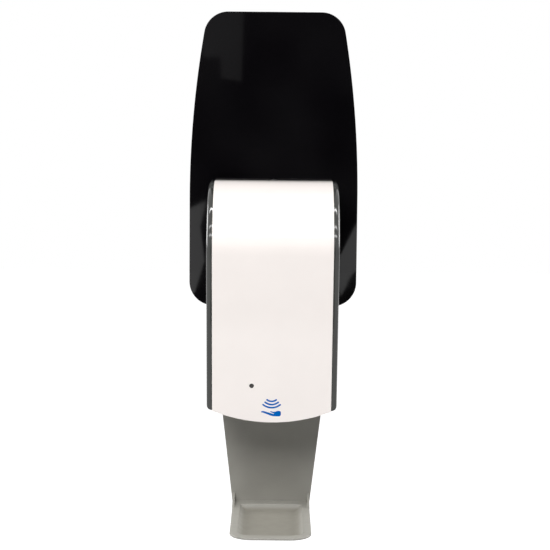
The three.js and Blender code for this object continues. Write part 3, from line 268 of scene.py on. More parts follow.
def loft(name, rings):
    """A closed solid through rings of equally many places, with flat ends."""
    count = len(rings[0])
    last = count * (len(rings) - 1)
    faces = [tuple(range(count)), tuple(range(last, last + count))]
    for start in range(0, last, count):
        for i in range(count):
            a, b = start + i, start + (i + 1) % count
            faces.append((a, b, b + count, a + count))
    return new_piece(name, [point for ring in rings for point in ring], faces)


def slab(name, axis, low, high, outline):
    """An outline in two axes, run along the third: 'x', 'out' or 'z'."""
    at = {
        "x": lambda w, u, v: place(w, u, v),
        "out": lambda w, u, v: place(u, w, v),
        "z": lambda w, u, v: place(u, v, w),
    }[axis]
    return loft(name, [[at(w, u, v) for u, v in outline] for w in (low, high)])


def tool(axis, low, high, outline):
    return slab("tool", axis, low, high, outline)


def drill(axis, low, high, u, v, radius):
    """A round tool that runs past both ends of a hole."""
    return tool(axis, low - OVERRUN, high + OVERRUN, circle(u, v, radius))


def combine(operation, piece, tools):
    """Joins the tools to a piece, or cuts them from it, and removes them."""
    for other in tools:
        step = piece.modifiers.new(other.name, "BOOLEAN")
        step.operation = operation
        step.solver = "EXACT"
        step.object = other
    bpy.context.view_layer.update()
    old = piece.data
    piece.data = bpy.data.meshes.new_from_object(piece.evaluated_get(bpy.context.evaluated_depsgraph_get()))
    piece.modifiers.clear()
    piece.data.name = piece.name
    bpy.data.meshes.remove(old)
    for other in tools:
        bpy.data.meshes.remove(other.data)
    return piece


def join(piece, *tools):
    return combine("UNION", piece, tools)


def cut(piece, *tools):
    return combine("DIFFERENCE", piece, tools)


def reshape(piece, change):
    """Moves every vertex of a piece to where change puts it."""
    for vertex in piece.data.vertices:
        vertex.co = change(vertex.co)


def mirrored(piece, name):
    """A copy of a piece on the other side of the middle."""
    twin = add(bpy.data.objects.new(name, piece.data.copy()))
    reshape(twin, lambda co: Vector((-co.x, co.y, co.z)))
    twin.data.flip_normals()
    return twin


def round_edges(piece, radius, segments, angle):
    edge = piece.modifiers.new("rounded edges", "BEVEL")
    edge.width = radius
    edge.segments = segments
    edge.limit_method = "ANGLE"
    edge.angle_limit = math.radians(angle)
    piece.modifiers.new("flats", "WEIGHTED_NORMAL").keep_sharp = True


def soften(piece, radius):
    """Shades a new piece smoothly and rounds its edges."""
    piece.data.polygons.foreach_set("use_smooth", [True] * len(piece.data.polygons))
    round_edges(piece, radius, segments=3, angle=35)


@cache
def smooth_group(angle):
    """A node group that joins a node's faces and smooths its curves up to an angle."""
    group = bpy.data.node_groups.new(f"smooth under {angle} degrees", "GeometryNodeTree")
    for way in ("INPUT", "OUTPUT"):
        group.interface.new_socket("Geometry", in_out=way, socket_type="NodeSocketGeometry")
    start, end, merge, normals, edge_angle, sharp = (group.nodes.new(kind) for kind in (
        "NodeGroupInput", "NodeGroupOutput", "GeometryNodeMergeByDistance", "GeometryNodeSetMeshNormal",
        "GeometryNodeInputMeshEdgeAngle", "FunctionNodeCompare",
    ))
    merge.inputs["Distance"].default_value = WELD
    normals.mode = "SHARPNESS"
    sharp.operation = "GREATER_THAN"
    sharp.inputs[1].default_value = math.radians(angle)
    for output, socket in (
        (start.outputs[0], merge.inputs["Geometry"]),
        (merge.outputs[0], normals.inputs["Mesh"]),
        (edge_angle.outputs["Unsigned Angle"], sharp.inputs[0]),
        (sharp.outputs[0], normals.inputs["Edge Sharpness"]),
        (normals.outputs[0], end.inputs[0]),
    ):
        group.links.new(output, socket)
    return group


def dress(name, finish, edge=0.0, angle=40):
    """Gives a CAD node its finish, smooth curves and, if asked for, rounded edges."""
    node = frame["nodes"][name]
    for slot in node.material_slots:
        slot.material = material(finish)
    node.modifiers.new("smooth curves", "NODES").node_group = smooth_group(angle)
    if edge:
        round_edges(node, edge, segments=2, angle=angle)


def dress_each(edge, *rows):
    """Dresses CAD nodes. A row has a finish, how much of the rounding its nodes get, and the nodes."""
    for finish, share, *names in rows:
        for name in names:
            dress(name, finish, edge * share)


def settle(piece, body, finish, *nodes):
    """Gives a new piece its finish and body, and hides the CAD nodes that it stands in for."""
    piece.data.materials.clear()
    piece.data.materials.append(material(finish))
    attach(piece, body)
    if nodes:
        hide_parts(*nodes)


# Materials. Most of a noise's values are in the range given here.

NOISE_MIDDLE = (0.3, 0.7)


def fill(node, **values):
    """Sets a node's sockets, with _ for each space in their names."""
    for name, value in values.items():
        node.inputs[name.replace("_", " ")].default_value = value
    return node


def calculate(tree, operation, first, second):
    """The result of an operation on two outputs of a node tree."""
    node = tree.nodes.new("ShaderNodeMath")
    node.operation = operation
    tree.links.new(first, node.inputs[0])
    tree.links.new(second, node.inputs[1])
    return node.outputs[0]


class Finish:
    """A material with one principled shader, and the textures that vary it."""

    def __init__(self, name, colour, roughness, stretch=(1, 1, 1), **sockets):
        self.material = bpy.data.materials.new(name)
        self.material.use_nodes = True
        self.tree = self.material.node_tree
        self.colour = (*colour, 1)
        self.roughness = roughness
        self.stretch = stretch
        self.shader = self.tree.nodes["Principled BSDF"]
        fill(self.shader, Base_Color=self.colour, Roughness=roughness, **sockets)

    def node(self, kind, **values):
        return fill(self.tree.nodes.new(kind), **values)

    def link(self, output, socket):
        self.tree.links.new(output, socket)

    def mapped(self, kind, **values):
        """A node whose first input is the place on the object."""
        made = self.node(kind, **values)
        mapping = self.node("ShaderNodeMapping", Scale=self.stretch)
        self.link(self.node("ShaderNodeTexCoord").outputs["Object"], mapping.inputs["Vector"])
        self.link(mapping.outputs["Vector"], made.inputs[0])
        return made

    def noise(self, scale, detail):
        return self.mapped("ShaderNodeTexNoise", Scale=scale, Detail=detail).outputs["Fac"]

    def span(self, value, start, end, low=0, high=1):
        """A value mapped from one range to another."""
        made = self.node("ShaderNodeMapRange", From_Min=start, From_Max=end, To_Min=low, To_Max=high)
        self.link(value, made.inputs["Value"])
        return made.outputs["Result"]

    def patches(self, scale, detail, low=0, high=1):
        """Soft patches between two values."""
        return self.span(self.noise(scale, detail), *NOISE_MIDDLE, low, high)

    def rise(self, start, end):
        """How far a place's height is from one height to another, from 0 to 1."""
        return self.span(self.mapped("ShaderNodeSeparateXYZ").outputs["Z"], start, end)

    def blend(self, factor, first, second):
        mix = self.node("ShaderNodeMix")
        mix.data_type = "RGBA"  # its colours are inputs 6 and 7, and output 2
        for socket, value in ((mix.inputs[6], first), (mix.inputs[7], second)):
            if isinstance(value, bpy.types.NodeSocket):
                self.link(value, socket)
            else:
                socket.default_value = (*value[:3], 1)
        self.link(factor, mix.inputs[0])
        return mix.outputs[2]

    def drive(self, socket, output):
        """Links an output to one of the shader's sockets."""
        self.link(output, self.shader.inputs[socket])

    def mottle(self, scale, share, detail=3):
        """The colour goes a little darker and lighter in patches."""
        dark = [level * (1 - share) for level in self.colour[:3]]
        light = [min(level * (1 + share), 1) for level in self.colour[:3]]
        self.drive("Base Color", self.blend(self.patches(scale, detail), dark, light))
        return self

    def smudge(self, scale, share, detail=4):
        """The gloss varies in patches."""
        low, high = self.roughness * (1 - share), self.roughness * (1 + share)
        self.drive("Roughness", self.patches(scale, detail, low, high))
        return self

    def soap_and_shade(self, top, full, colour):
        """Another colour, as painted shade, covers what lies low: it starts at one height and is full at
        another.
        """
        under = self.shader.inputs["Base Color"].links[0].from_socket
        self.drive("Base Color", self.blend(self.rise(top, full), under, colour))
        return self

    def grain(self, scale, height, detail=2):
        """The surface rises and falls by a height in millimetres."""
        bump = self.node("ShaderNodeBump", Strength=1, Distance=height * MM)
        self.link(self.noise(scale, detail), bump.inputs["Height"])
        self.drive("Normal", bump.outputs["Normal"])
        return self


def plain(label, tone, roughness, mottle, smudge=None, grain=None, **sockets):
    """Makes a finish with a mottle, smudges and a grain, each given by its scale and amount."""

    def make(colours):
        shade = getattr(colours, tone) if isinstance(tone, str) else linear(*tone)
        finish = Finish(label, shade, roughness, **sockets).mottle(*mottle)
        if smudge:
            finish.smudge(*smudge)
        if grain:
            finish.grain(*grain)
        return finish.material

    return make


def satin_grey(colours):
    """The drip tray's grey, darker low down: dried soap in its dish, and painted shade in the dish and under
    its lip.
    """
    finish = Finish("satin grey", colours.tray, 0.42, IOR=1.48)
    sizes = bpy.context.scene.dispenser_sizes
    rim = TRAY_BOX[0].z + sizes.tray_depth
    # Painted shade and dried soap: everything lower than a depth under the rim goes darker.
    finish.mottle(45, 0.03).soap_and_shade(rim - sizes.soap_and_shade_top, rim - sizes.soap_and_shade_full, colours.soap_and_shade)
    return finish.smudge(80, 0.12).grain(2600, 0.004).material


def circuit(colours):
    """Solder mask with tracks under it and tinned pads."""
    finish = Finish("circuit board", colours.circuit, 0.3, IOR=1.55)
    tracks = finish.mapped("ShaderNodeTexBrick", Scale=260, Mortar_Size=0.06, Brick_Width=0.9, Row_Height=0.3)
    pads = finish.mapped("ShaderNodeTexVoronoi", Scale=220)
    pad_radius, pad_edge, track_gain = 0.16, 0.2, 1.6
    pad = finish.span(pads.outputs["Distance"], pad_radius, pad_edge, 1, 0)
    bright = [level * track_gain for level in colours.circuit]
    mask = finish.blend(tracks.outputs["Fac"], colours.circuit, bright)
    finish.drive("Base Color", finish.blend(pad, mask, linear(190, 192, 190)))
    finish.drive("Metallic", pad)
    return finish.smudge(300, 0.2).material


def sleeve(colours):
    """A cell's printed sleeve: colour over most of its length and a metal band at each end."""
    finish = Finish("cell sleeve", colours.cell, 0.28)
    low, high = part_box("battery_cell_1")
    band = 0.14
    metal = (*linear(198, 199, 200), 1)
    node = finish.node("ShaderNodeValToRGB")
    ramp = node.color_ramp
    ramp.interpolation = "CONSTANT"
    ramp.elements[0].color = metal
    ramp.elements[1].position = band
    ramp.elements[1].color = finish.colour
    ramp.elements.new(1 - band).color = metal
    finish.link(finish.rise(low.z, high.z), node.inputs["Fac"])
    finish.drive("Base Color", node.outputs["Color"])
    return finish.smudge(200, 0.2).material


MATERIALS = {
    "board": plain("gloss black", "board", 0.03, (9, 0.12), (14, 0.5), IOR=1.49),
    "panel": plain("gloss white", "panel", 0.08, (30, 0.008), (40, 0.15)),
    "side": plain("gloss grey", "side", 0.07, (60, 0.08), (50, 0.25)),
    "tray": satin_grey,
    "chassis": plain("moulded dark", "chassis", 0.5, (70, 0.08), (120, 0.12), (2200, 0.012)),
    "housing": plain("moulded light", "housing", 0.45, (50, 0.02), (90, 0.12), (2400, 0.008)),
    "tank": plain(
        "frosted", "tank", 0.38, (35, 0.02), (60, 0.15), (700, 0.01), Transmission_Weight=0.45,
        Subsurface_Weight=0.2, Subsurface_Scale=3 * MM,
    ),
    "sign": plain("printed sign", "sign", 0.5, (900, 0.05), (500, 0.1), Specular_IOR_Level=0.05),
    "zinc": plain("zinc plate", (186, 188, 192), 0.28, (300, 0.06), (700, 0.35), (3000, 0.004), Metallic=1),
    "steel": plain(
        "drawn steel", (172, 175, 180), 0.3, (900, 0.08), (1200, 0.4), stretch=(1, 0.05, 1), Metallic=1,
    ),
    "brass": plain("nickel brass", (201, 176, 118), 0.32, (260, 0.08), (500, 0.3), Metallic=1),
    "rubber": plain("rubber", (30, 30, 31), 0.75, (200, 0.1), grain=(2500, 0.02)),
    "silicone": plain(
        "silicone", (214, 219, 220), 0.3, (120, 0.03), (200, 0.2), IOR=1.42, Transmission_Weight=0.6,
    ),
    "chip": plain("moulded epoxy", (24, 25, 27), 0.55, (400, 0.12), grain=(4000, 0.01)),
    "gear": plain(
        "acetal", (232, 226, 208), 0.42, (150, 0.03), (300, 0.15), Subsurface_Weight=0.1,
        Subsurface_Scale=1 * MM,
    ),
    "lens": plain("tinted lens", (54, 49, 49), 0.25, (500, 0.2), (600, 0.3)),
    "window": plain("infrared window", (20, 12, 22), 0.07, (120, 0.15), (90, 0.4)),
    "circuit": circuit,
    "cell": sleeve,
    "lead": plain("insulation", "lead", 0.4, (500, 0.06), (700, 0.2)),
}


@cache
def material(name):
    """A finish by name, made once."""
    return MATERIALS[name](bpy.context.scene.dispenser_colours)


# Backing board

def board_outline(sizes):
    corner, side, start = sizes.board_corner, sizes.board_side, sizes.board_curve_start
    side_centre = BOARD.x - side
    corner_z = BOARD.z - corner
    lean = math.asin((corner_z - start) / (side - corner))
    top_x = side_centre + (side - corner) * math.cos(lean)
    right = (
        arc(BOARD.x - corner, -corner_z, corner, -QUARTER, 0, FINE_STEPS)
        + arc(side_centre, start, side, 0, lean, FINE_STEPS)
        + arc(top_x, corner_z, corner, lean, QUARTER, FINE_STEPS)[1:]
    )
    return right + [(-x, z) for x, z in reversed(right)]


def sunk_hole(screw, face):
    """The hole of a flat-headed screw whose head faces the wall."""
    x, _, z = middle(screw)
    low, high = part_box(screw)
    head = (high.x - low.x) / 2 + SEAT
    shank, depth = head / 2 + SEAT / 2, head / 2 + SEAT
    end = face + SHANK_DEPTHS * depth
    rings = [(head + OVERRUN, face - OVERRUN), (head, face), (shank, face + depth), (shank, end)]
    return loft("tool", [[place(u, out, v) for u, v in circle(x, z, radius)] for radius, out in rings])


class DISPENSER_OT_board(bpy.types.Operator):
    """Makes the glossy backing board with its screw holes"""

    bl_idname = "dispenser.board"
    bl_label = "Backing Board"

    wall_hole: length("Wall hole", "Radius of the wall screws' holes", 2.6)
    wall_hole_x: length("Wall hole place", "Their distance from the middle", 35)
    wall_hole_z: length("Wall hole height", "Height of those holes", -96)

    def execute(self, context):
        sizes = context.scene.dispenser_sizes
        board = slab("board", "out", 0, BOARD_FRONT, board_outline(sizes))
        sunk = [sunk_hole(name, 0) for name in numbered("board_screw_")]
        wall = [
            drill("out", 0, BOARD_FRONT, x, self.wall_hole_z, self.wall_hole)
            for x in (-self.wall_hole_x, self.wall_hole_x)
        ]
        soften(cut(board, *sunk, *wall), sizes.board_edge)
        settle(board, "base", "board", "back_board")
        return {"FINISHED"}


# Cover: side view of its outer surface, its arch, and how it narrows

def bend_radius(sizes):
    return FRONT - BOARD_FRONT - sizes.flat_top


def cover_profile(sizes, inset, rear):
    radius = bend_radius(sizes)
    bend = arc(FRONT - radius, TOP - radius, radius - inset, QUARTER, 0, BEND_STEPS)
    return [(rear, TOP - inset), *bend, (FRONT - inset, BOTTOM - OVERRUN)]


def cover_band(sizes, outer, inner, rear):
    return cover_profile(sizes, outer, rear) + cover_profile(sizes, inner, rear)[::-1]


def below_arch(sizes):
    """What lies under the cover's arched edge."""
    radius = sizes.arch
    reach = math.asin((SIDE_OUTER + OVERRUN) / radius)
    curve = arc(0, BOTTOM + radius, radius, -QUARTER - reach, -QUARTER + reach, 2 * BEND_STEPS)
    low = BOTTOM - FAR_OVERRUN
    return tool("out", -OVERRUN, FRONT + OVERRUN, [*curve, (curve[-1][0], low), (curve[0][0], low)])


def narrow_share(sizes, z):
    shoulder = TOP - bend_radius(sizes)
    fall = (shoulder - z) / (shoulder - BOTTOM)
    return min(max(fall, 0), 1) * sizes.narrowing / SIDE_OUTER


def narrow(sizes, piece):
    reshape(piece, lambda co: Vector((co.x * (1 - narrow_share(sizes, co.z)), co.y, co.z)))


def cover_screw_holes(sizes, back, front, right_only=False):
    places = [middle(name) for name in numbered("cover_screw_")]
    return [
        drill("out", back, front, x, z, sizes.screw_hole) for x, _, z in places if x > 0 or not right_only
    ]


class DISPENSER_OT_panel(bpy.types.Operator):
    """Makes the white front panel with the hook that the lock holds"""

    bl_idname = "dispenser.panel"
    bl_label = "Front Panel"

    hook_inner: length("Hook place", "Its distance from the middle", 5.2)
    hook_width: length("Hook width", "Width of the hook", 3)
    hook_thickness: length("Hook thickness", "Thickness of its end", 1.4)
    hook_arm: length("Hook arm", "Height of its arm", 6)
    hook_drop: length("Hook drop", "How far its end hangs down", 5.2)
    hook_ahead: length("Hook reach", "How far it stands in front of the lock", 13)
    hook_gap: length("Hook gap", "Its height over the lock's cam", 0.8)
    lens_radius: length("Lens radius", "Radius of the status lens", 2)
    lens_gap: length("Lens gap", "Clearance round the lens", 0.3)

    def hook(self):
        lock_out = -next(joint for joint in frame["joints"] if joint["name"] == "lock_turn")["pos_m"][1]
        ahead, back = lock_out + self.hook_ahead, -COVER[1].y
        behind, tip = ahead - self.hook_arm, back + self.hook_thickness
        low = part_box("lock_cam")[1].z + self.hook_gap
        inside, high, foot = TOP - OVERRUN, low + self.hook_arm, low - self.hook_drop
        return tool("x", -self.hook_inner - self.hook_width, -self.hook_inner, [
            (ahead, inside), (behind, inside), (behind, high), (back, high), (back, foot), (tip, foot),
            (tip, low), (ahead, low),
        ])

    def execute(self, context):
        sizes = context.scene.dispenser_sizes
        band = cover_band(sizes, 0, sizes.panel_wall, sizes.panel_rear)
        panel = slab("front_panel", "x", -PANEL_HALF, PANEL_HALF, band)
        cut(join(panel, self.hook()), below_arch(sizes))
        narrow(sizes, panel)
        x, _, z = middle("status_lens")
        inner = FRONT - sizes.panel_wall
        lens = drill("out", inner, FRONT, x, z, self.lens_radius + self.lens_gap)
        cut(panel, lens, *cover_screw_holes(sizes, inner, inner))
        soften(panel, sizes.panel_edge)
        settle(panel, "cover", "panel", "cover_front")
        dress("status_lens", "lens", self.lens_gap / 2)
        return {"FINISHED"}


class DISPENSER_OT_sides(bpy.types.Operator):
    """Makes the two dark grey side pieces beside the panel"""

    bl_idname = "dispenser.sides"
    bl_label = "Side Pieces"

    boss: length("Hinge boss", "Radius of the hinge boss inside", 4.5)
    pin_hole: length("Pin hole", "Radius of the hinge pin's hole", 2.3)
    edge: length("Edge", "Rounding of the thin edges", 0.35)

    def shell(self, sizes):
        """The right side piece's wall with its rounded outer edge, open at the back."""
        inner = PANEL_HALF + sizes.side_gap
        edge, wall = sizes.side_edge, sizes.side_wall

        def solid(name, start, end, radius, inset, rear, steps):
            rows = [(start, inset)]
            for a in quarter_turns(steps):
                rows.append((end - radius * (1 - math.sin(a)), inset + radius * (1 - math.cos(a))))
            return loft(name, [
                [place(x, out, z) for out, z in (*cover_profile(sizes, drop, rear), (rear, BOTTOM - OVERRUN))]
                for x, drop in rows
            ])

        return cut(
            solid("cover_side_piece_right", inner, SIDE_OUTER, edge, SIDE_DROP, SIDE_BACK, 2 * EDGE_STEPS),
            solid("tool", inner - OVERRUN, SIDE_OUTER - wall, edge - wall, SIDE_DROP + wall,
                  SIDE_BACK - OVERRUN, EDGE_STEPS),
        )

    def corner(self, sizes):
        """What lies outside the rounded lower corner."""
        radius = sizes.side_corner
        x = SIDE_OUTER - radius
        z = BOTTOM + sizes.arch - math.sqrt(sizes.arch**2 - x**2) + radius
        far, low = SIDE_OUTER + OVERRUN, BOTTOM - FAR_OVERRUN
        outline = [*arc(x, z, radius, -QUARTER, 0, FINE_STEPS), (far, z), (far, low), (x, low)]
        return tool("out", -OVERRUN, FRONT + OVERRUN, outline)

    def execute(self, context):
        sizes = context.scene.dispenser_sizes
        inner = PANEL_HALF + sizes.side_gap
        carried = sizes.panel_wall + SEAT
        band = cover_band(sizes, carried, carried + sizes.ledge_thickness, sizes.panel_rear)
        ledge = tool("x", inner - sizes.ledge_width, SIDE_OUTER - sizes.side_edge, band)
        pin_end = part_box("hinge_pin_right")[1].x + SEAT
        _, out, z = middle("hinge_pin_right")
        ear = (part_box("chassis")[1].x + SEAT) / (1 - narrow_share(sizes, z))
        boss = tool("x", ear, SIDE_OUTER - sizes.side_wall / 2, circle(out, z, self.boss))
        right = join(self.shell(sizes), ledge, boss)
        cut(right, below_arch(sizes), self.corner(sizes))
        narrow(sizes, right)
        back = FRONT - carried - sizes.ledge_thickness
        cut(
            right,
            tool("x", ear - OVERRUN, pin_end, circle(out, z, self.pin_hole)),
            *cover_screw_holes(sizes, back, FRONT - carried, right_only=True),
        )
        left = mirrored(right, "cover_side_piece_left")
        for piece, node in ((left, "cover_side_left"), (right, "cover_side_right")):
            soften(piece, self.edge)
            settle(piece, "cover", "side", node)
        return {"FINISHED"}


# Printed sign: a hand under three waves, as generic signs for touchless taps have. The hand's outline is in
# hundredths of its width and height.

HAND = [
    (0, 84), (5, 96), (15, 94), (30, 78), (46, 62), (60, 46), (66, 50), (58, 64), (48, 76), (46, 88),
    (52, 94), (62, 84), (72, 88), (82, 100), (94, 98), (100, 80), (100, 24), (95, 4), (84, 0), (60, 4),
    (46, 16), (28, 42), (10, 66), (1, 72),
]


def curve_point(a, b, c, d, t):
    """A number at a share t of the way from b to c, on a smooth curve through all four."""
    return (2 * b + (c - a) * t + (2 * a - 5 * b + 4 * c - d) * t**2 + (3 * b - a - 3 * c + d) * t**3) / 2


def curve_through(points, steps):
    """A closed smooth curve through outline points."""
    smooth = []
    for i, second in enumerate(points):
        first, third, fourth = points[i - 1], points[(i + 1) % len(points)], points[(i + 2) % len(points)]
        for step in range(steps):
            share = step / steps
            smooth.append(tuple(curve_point(*four, share) for four in zip(first, second, third, fourth)))
    return smooth


class DISPENSER_OT_sign(bpy.types.Operator):
    """Prints a plain blue sign of a hand under waves on the panel"""

    bl_idname = "dispenser.sign"
    bl_label = "Printed Sign"

    wave_centre: length("Wave centre", "Height of the waves' centre", -227.4)
    wave_start: length("First wave", "Radius of the first wave", 7.2)
    wave_step: length("Wave step", "Distance between the waves", 3.15)
    wave_width: length("Wave width", "Width of the waves' line", 1.65)
    wave_half_angle: slant("Wave reach", "Half the angle of a wave", 39)
    waves: IntProperty(name="Waves", description="Number of waves", default=3, min=1)
    hand_left: length("Hand's left", "Place of the fingertips", -10.4)
    hand_width: length("Hand width", "Length of the hand", 19.6)
    hand_low: length("Hand low", "Height of its lower edge", -249.6)
    hand_height: length("Hand height", "Height of the hand", 5.4)

    def wave(self, radius):
        """A stroke with round ends, curved about the waves' centre."""
        half, reach, centre = self.wave_width / 2, self.wave_half_angle, self.wave_centre
        start, end = -QUARTER - reach, -QUARTER + reach
        far = (radius * math.cos(end), centre + radius * math.sin(end))
        near = (radius * math.cos(start), centre + radius * math.sin(start))
        return (
            arc(0, centre, radius + half, start, end, FINE_STEPS)
            + arc(*far, half, end, end + 2 * QUARTER, END_STEPS)[1:-1]
            + arc(0, centre, radius - half, end, start, FINE_STEPS)
            + arc(*near, half, start - 2 * QUARTER, start, END_STEPS)[1:-1]
        )

    def execute(self, context):
        sizes = context.scene.dispenser_sizes
        hand = curve_through([
            (self.hand_left + u / 100 * self.hand_width, self.hand_low + v / 100 * self.hand_height)
            for u, v in HAND
        ], EDGE_STEPS)
        outlines = [self.wave(self.wave_start + i * self.wave_step) for i in range(self.waves)]
        strokes = [
            slab("hand_sign", "out", FRONT - sizes.print_height, FRONT + sizes.print_height, outline)
            for outline in (hand, *outlines)
        ]
        sign = join(strokes[0], *strokes[1:])
        settle(sign, "cover", "sign")
        return {"FINISHED"}


# Drip tray. These shares of the way from the lip down to the foot of the bowl shape its underside.

BOWL_SHARES = (0.25, 0.5, 0.75, 0.9, 1)
DISH_STEPS = 14


class DISPENSER_OT_tray(bpy.types.Operator):
    """Makes the grey drip tray: arm, shelf, dish and gussets in one piece"""

    bl_idname = "dispenser.tray"
    bl_label = "Drip Tray"

    rear_corner: length("Rear corner", "Radius of its rear corners", 3)
    rim_round: length("Rim rounding", "Rounding of the rim's outer edge", 0.7)
    under_inset: length("Underside inset", "How far it is set in", 4)
    under_drop: length("Underside drop", "Its drop at the lip", 0.36)
    side_taper: length("Side taper", "Taper of the bowl's sides", 8)
    front_taper: length("Front taper", "Taper of the bowl's front", 17.6)
    under_round: length("Underside rounding", "Rounding at the foot of the bowl", 1)
    dish_inset: length("Dish inset", "Width of the rim beside the dish", 8.6)
    dish_rear: length("Dish rear", "Place of its rear edge", 19.6)
    dish_front: length("Dish front", "Place of its front edge", 138.7)
    dish_depth: length("Dish depth", "Depth of the dish", 6)
    dish_corner: length("Dish corner", "Radius of the dish's corners", 13)
    dish_lip: length("Dish lip", "Rounding of its upper edge", 1.1)
    dish_slope: length("Dish slope", "Width of its curved walls", 9.5)
    dish_front_slope: length("Front slope", "Width of its front wall", 12.6)
    dish_curve: number("Dish curve", "How soon its walls level out", 2.2)
    gusset_width: length("Gusset width", "Thickness of each gusset", 2.4)
    gusset_height: length("Gusset height", "Its height on the arm", 8.7)
    gusset_reach: length("Gusset reach", "Its length on the rim", 32.8)
    edge: length("Edge", "Rounding of the arm's edges", 0.5)

    def ring(self, z, half, rear, front, corner):
        outline = rounded(-half, half, rear, front, self.rear_corner, corner)
        return [place(x, out, z) for x, out in outline]

    def shelf(self, sizes, rim, rear, front):
        """The tray's outer shape, from its rim down over the lip to the foot of the bowl."""
        edge = self.rim_round
        low = sizes.lip + self.under_drop
        insets = [(edge * (1 - math.cos(a)), edge * (1 - math.sin(a))) for a in quarter_turns(EDGE_STEPS)]
        insets += [(sizes.lip - edge / 3, 0), (sizes.lip, edge / 3), (low, self.under_inset)]
        rows = [(drop, inset, inset) for drop, inset in insets]
        for share in BOWL_SHARES:
            inset = self.under_inset - self.under_round / 2 * math.sin(share * 2 * QUARTER)
            drop = low + (sizes.tray_depth - low) * share
            rows.append((drop, inset + self.side_taper * share, inset + self.front_taper * share))
        return loft("drip_tray_moulding", [
            self.ring(rim - drop, sizes.tray_half - inset, rear, front - front_inset,
                      max(sizes.tray_corner - inset, self.rear_corner))
            for drop, inset, front_inset in rows
        ])

    def dish(self, sizes, rim):
        """The hollow of the dish: a rounded lip, then a curve that runs out into the floor."""
        lip = self.dish_lip
        rows = [(-OVERRUN, -lip, -lip)]
        for a in quarter_turns(EDGE_STEPS):
            inset = lip * (math.sin(a) - 1)
            rows.append((lip * (1 - math.cos(a)), inset, inset))
        for step in range(1, DISH_STEPS + 1):
            share = step / DISH_STEPS
            drop = lip + (self.dish_depth - lip) * (1 - (1 - share) ** self.dish_curve)
            rows.append((drop, self.dish_slope * share, self.dish_front_slope * share))
        half = sizes.tray_half - self.dish_inset
        return loft("tool", [
            self.ring(rim - drop, half - inset, self.dish_rear + inset, self.dish_front - front_inset,
                      self.dish_corner)
            for drop, inset, front_inset in rows
        ])

    def execute(self, context):
        sizes = context.scene.dispenser_sizes
        rim = TRAY_BOX[0].z + sizes.tray_depth
        back, front = -TRAY_BOX[1].y, -TRAY_BOX[0].y
        arm_front = back + sizes.arm_thickness
        top_half = TRAY_BOX[1].x
        deep = rim - sizes.lip / 2
        right = [(sizes.arm_bottom, rim - sizes.lip), (top_half, sizes.arm_widest), (top_half, TRAY_BOX[1].z)]
        arm = tool("out", back, arm_front, right + [(-x, z) for x, z in reversed(right)])
        root, tip = arm_front - SEAT, arm_front + self.gusset_reach
        gusset = [(root, rim + self.gusset_height), (tip, rim), (tip, deep), (root, deep)]
        gussets = [
            tool("x", *sorted((hand * (sizes.tray_half - self.gusset_width), hand * sizes.tray_half)), gusset)
            for hand in (-1, 1)
        ]
        tray = join(self.shelf(sizes, rim, back, front), arm, *gussets)
        cut(tray, self.dish(sizes, rim), *[sunk_hole(name, back) for name in numbered("tray_screw_")])
        soften(tray, self.edge)
        settle(tray, "base", "tray", "drip_tray")
        return {"FINISHED"}


# Reservoir and its cap

class DISPENSER_OT_reservoir(bpy.types.Operator):
    """Makes the frosted reservoir and finishes its cap and seal"""

    bl_idname = "dispenser.reservoir"
    bl_label = "Reservoir"

    wall: length("Wall", "Thickness of its wall", 2)
    top: length("Top", "Height of its top", -50)
    flat_top: length("Flat top", "Depth of its flat top", 13)
    low: length("Bottom", "Height of its bottom", -156.9)
    neck: length("Neck", "Outer radius of its neck", 14)
    neck_height: length("Neck height", "Height of its neck", 5)
    neck_sink: length("Neck root", "How deep its root reaches", 8)
    neck_out: length("Neck place", "Place of its neck", 34)
    outlet: length("Outlet", "Outer radius of the outlet", 3.5)
    bore: length("Outlet bore", "Radius of its bore", 2.2)
    ear_x: length("Ear place", "Place of its ears", 32)
    ear_half: length("Ear width", "Half width of an ear", 6)
    ear_thickness: length("Ear thickness", "Thickness of an ear", 2.4)
    ear_hole: length("Ear hole", "Radius of its hole", 1.8)
    edge: length("Edge", "Rounding of its edges", 0.8)
    cap_edge: length("Cap edge", "Rounding of the cap's edges", 0.3)

    def outline(self, inset):
        back, front = -TANK_BOX[1].y, -TANK_BOX[0].y
        centre = back + self.flat_top
        radius = front - centre
        bend = arc(centre, self.top - radius, radius - inset, QUARTER, 0, BEND_STEPS)
        return [(back + inset, self.top - inset), *bend, (front - inset, self.low + inset),
                (back + inset, self.low + inset)]

    def execute(self, context):
        half, back = TANK_BOX[1].x, -TANK_BOX[1].y
        neck_top = self.top + self.neck_height
        neck_low = self.top - self.neck_sink
        _, pump_out, _ = middle("inlet_hose")
        end = TANK_BOX[0].z
        tank = slab("frosted_reservoir", "x", -half, half, self.outline(0))
        ears, ear_holes = [], []
        ear_z = (self.top + TANK_BOX[1].z) / 2
        ear_front = back + self.ear_thickness
        for x in (-self.ear_x, self.ear_x):
            outline = rectangle(x - self.ear_half, x + self.ear_half, self.top - OVERRUN, TANK_BOX[1].z)
            ears.append(tool("out", back, ear_front, outline))
            ear_holes.append(drill("out", back, ear_front, x, ear_z, self.ear_hole))
        join(
            tank,
            tool("z", neck_low, neck_top, circle(0, self.neck_out, self.neck)),
            tool("z", end, self.low + OVERRUN, circle(0, pump_out, self.outlet)),
            *ears,
        )
        cut(
            tank,
            tool("x", self.wall - half, half - self.wall, self.outline(self.wall)),
            drill("z", neck_low, neck_top, 0, self.neck_out, self.neck - self.wall),
            drill("z", end, self.low + self.wall, 0, pump_out, self.bore),
            *ear_holes,
        )
        soften(tank, self.edge)
        settle(tank, "base", "tank", "reservoir")
        dress("reservoir_cap", "side", self.cap_edge)
        dress("cap_seal", "rubber")
        return {"FINISHED"}


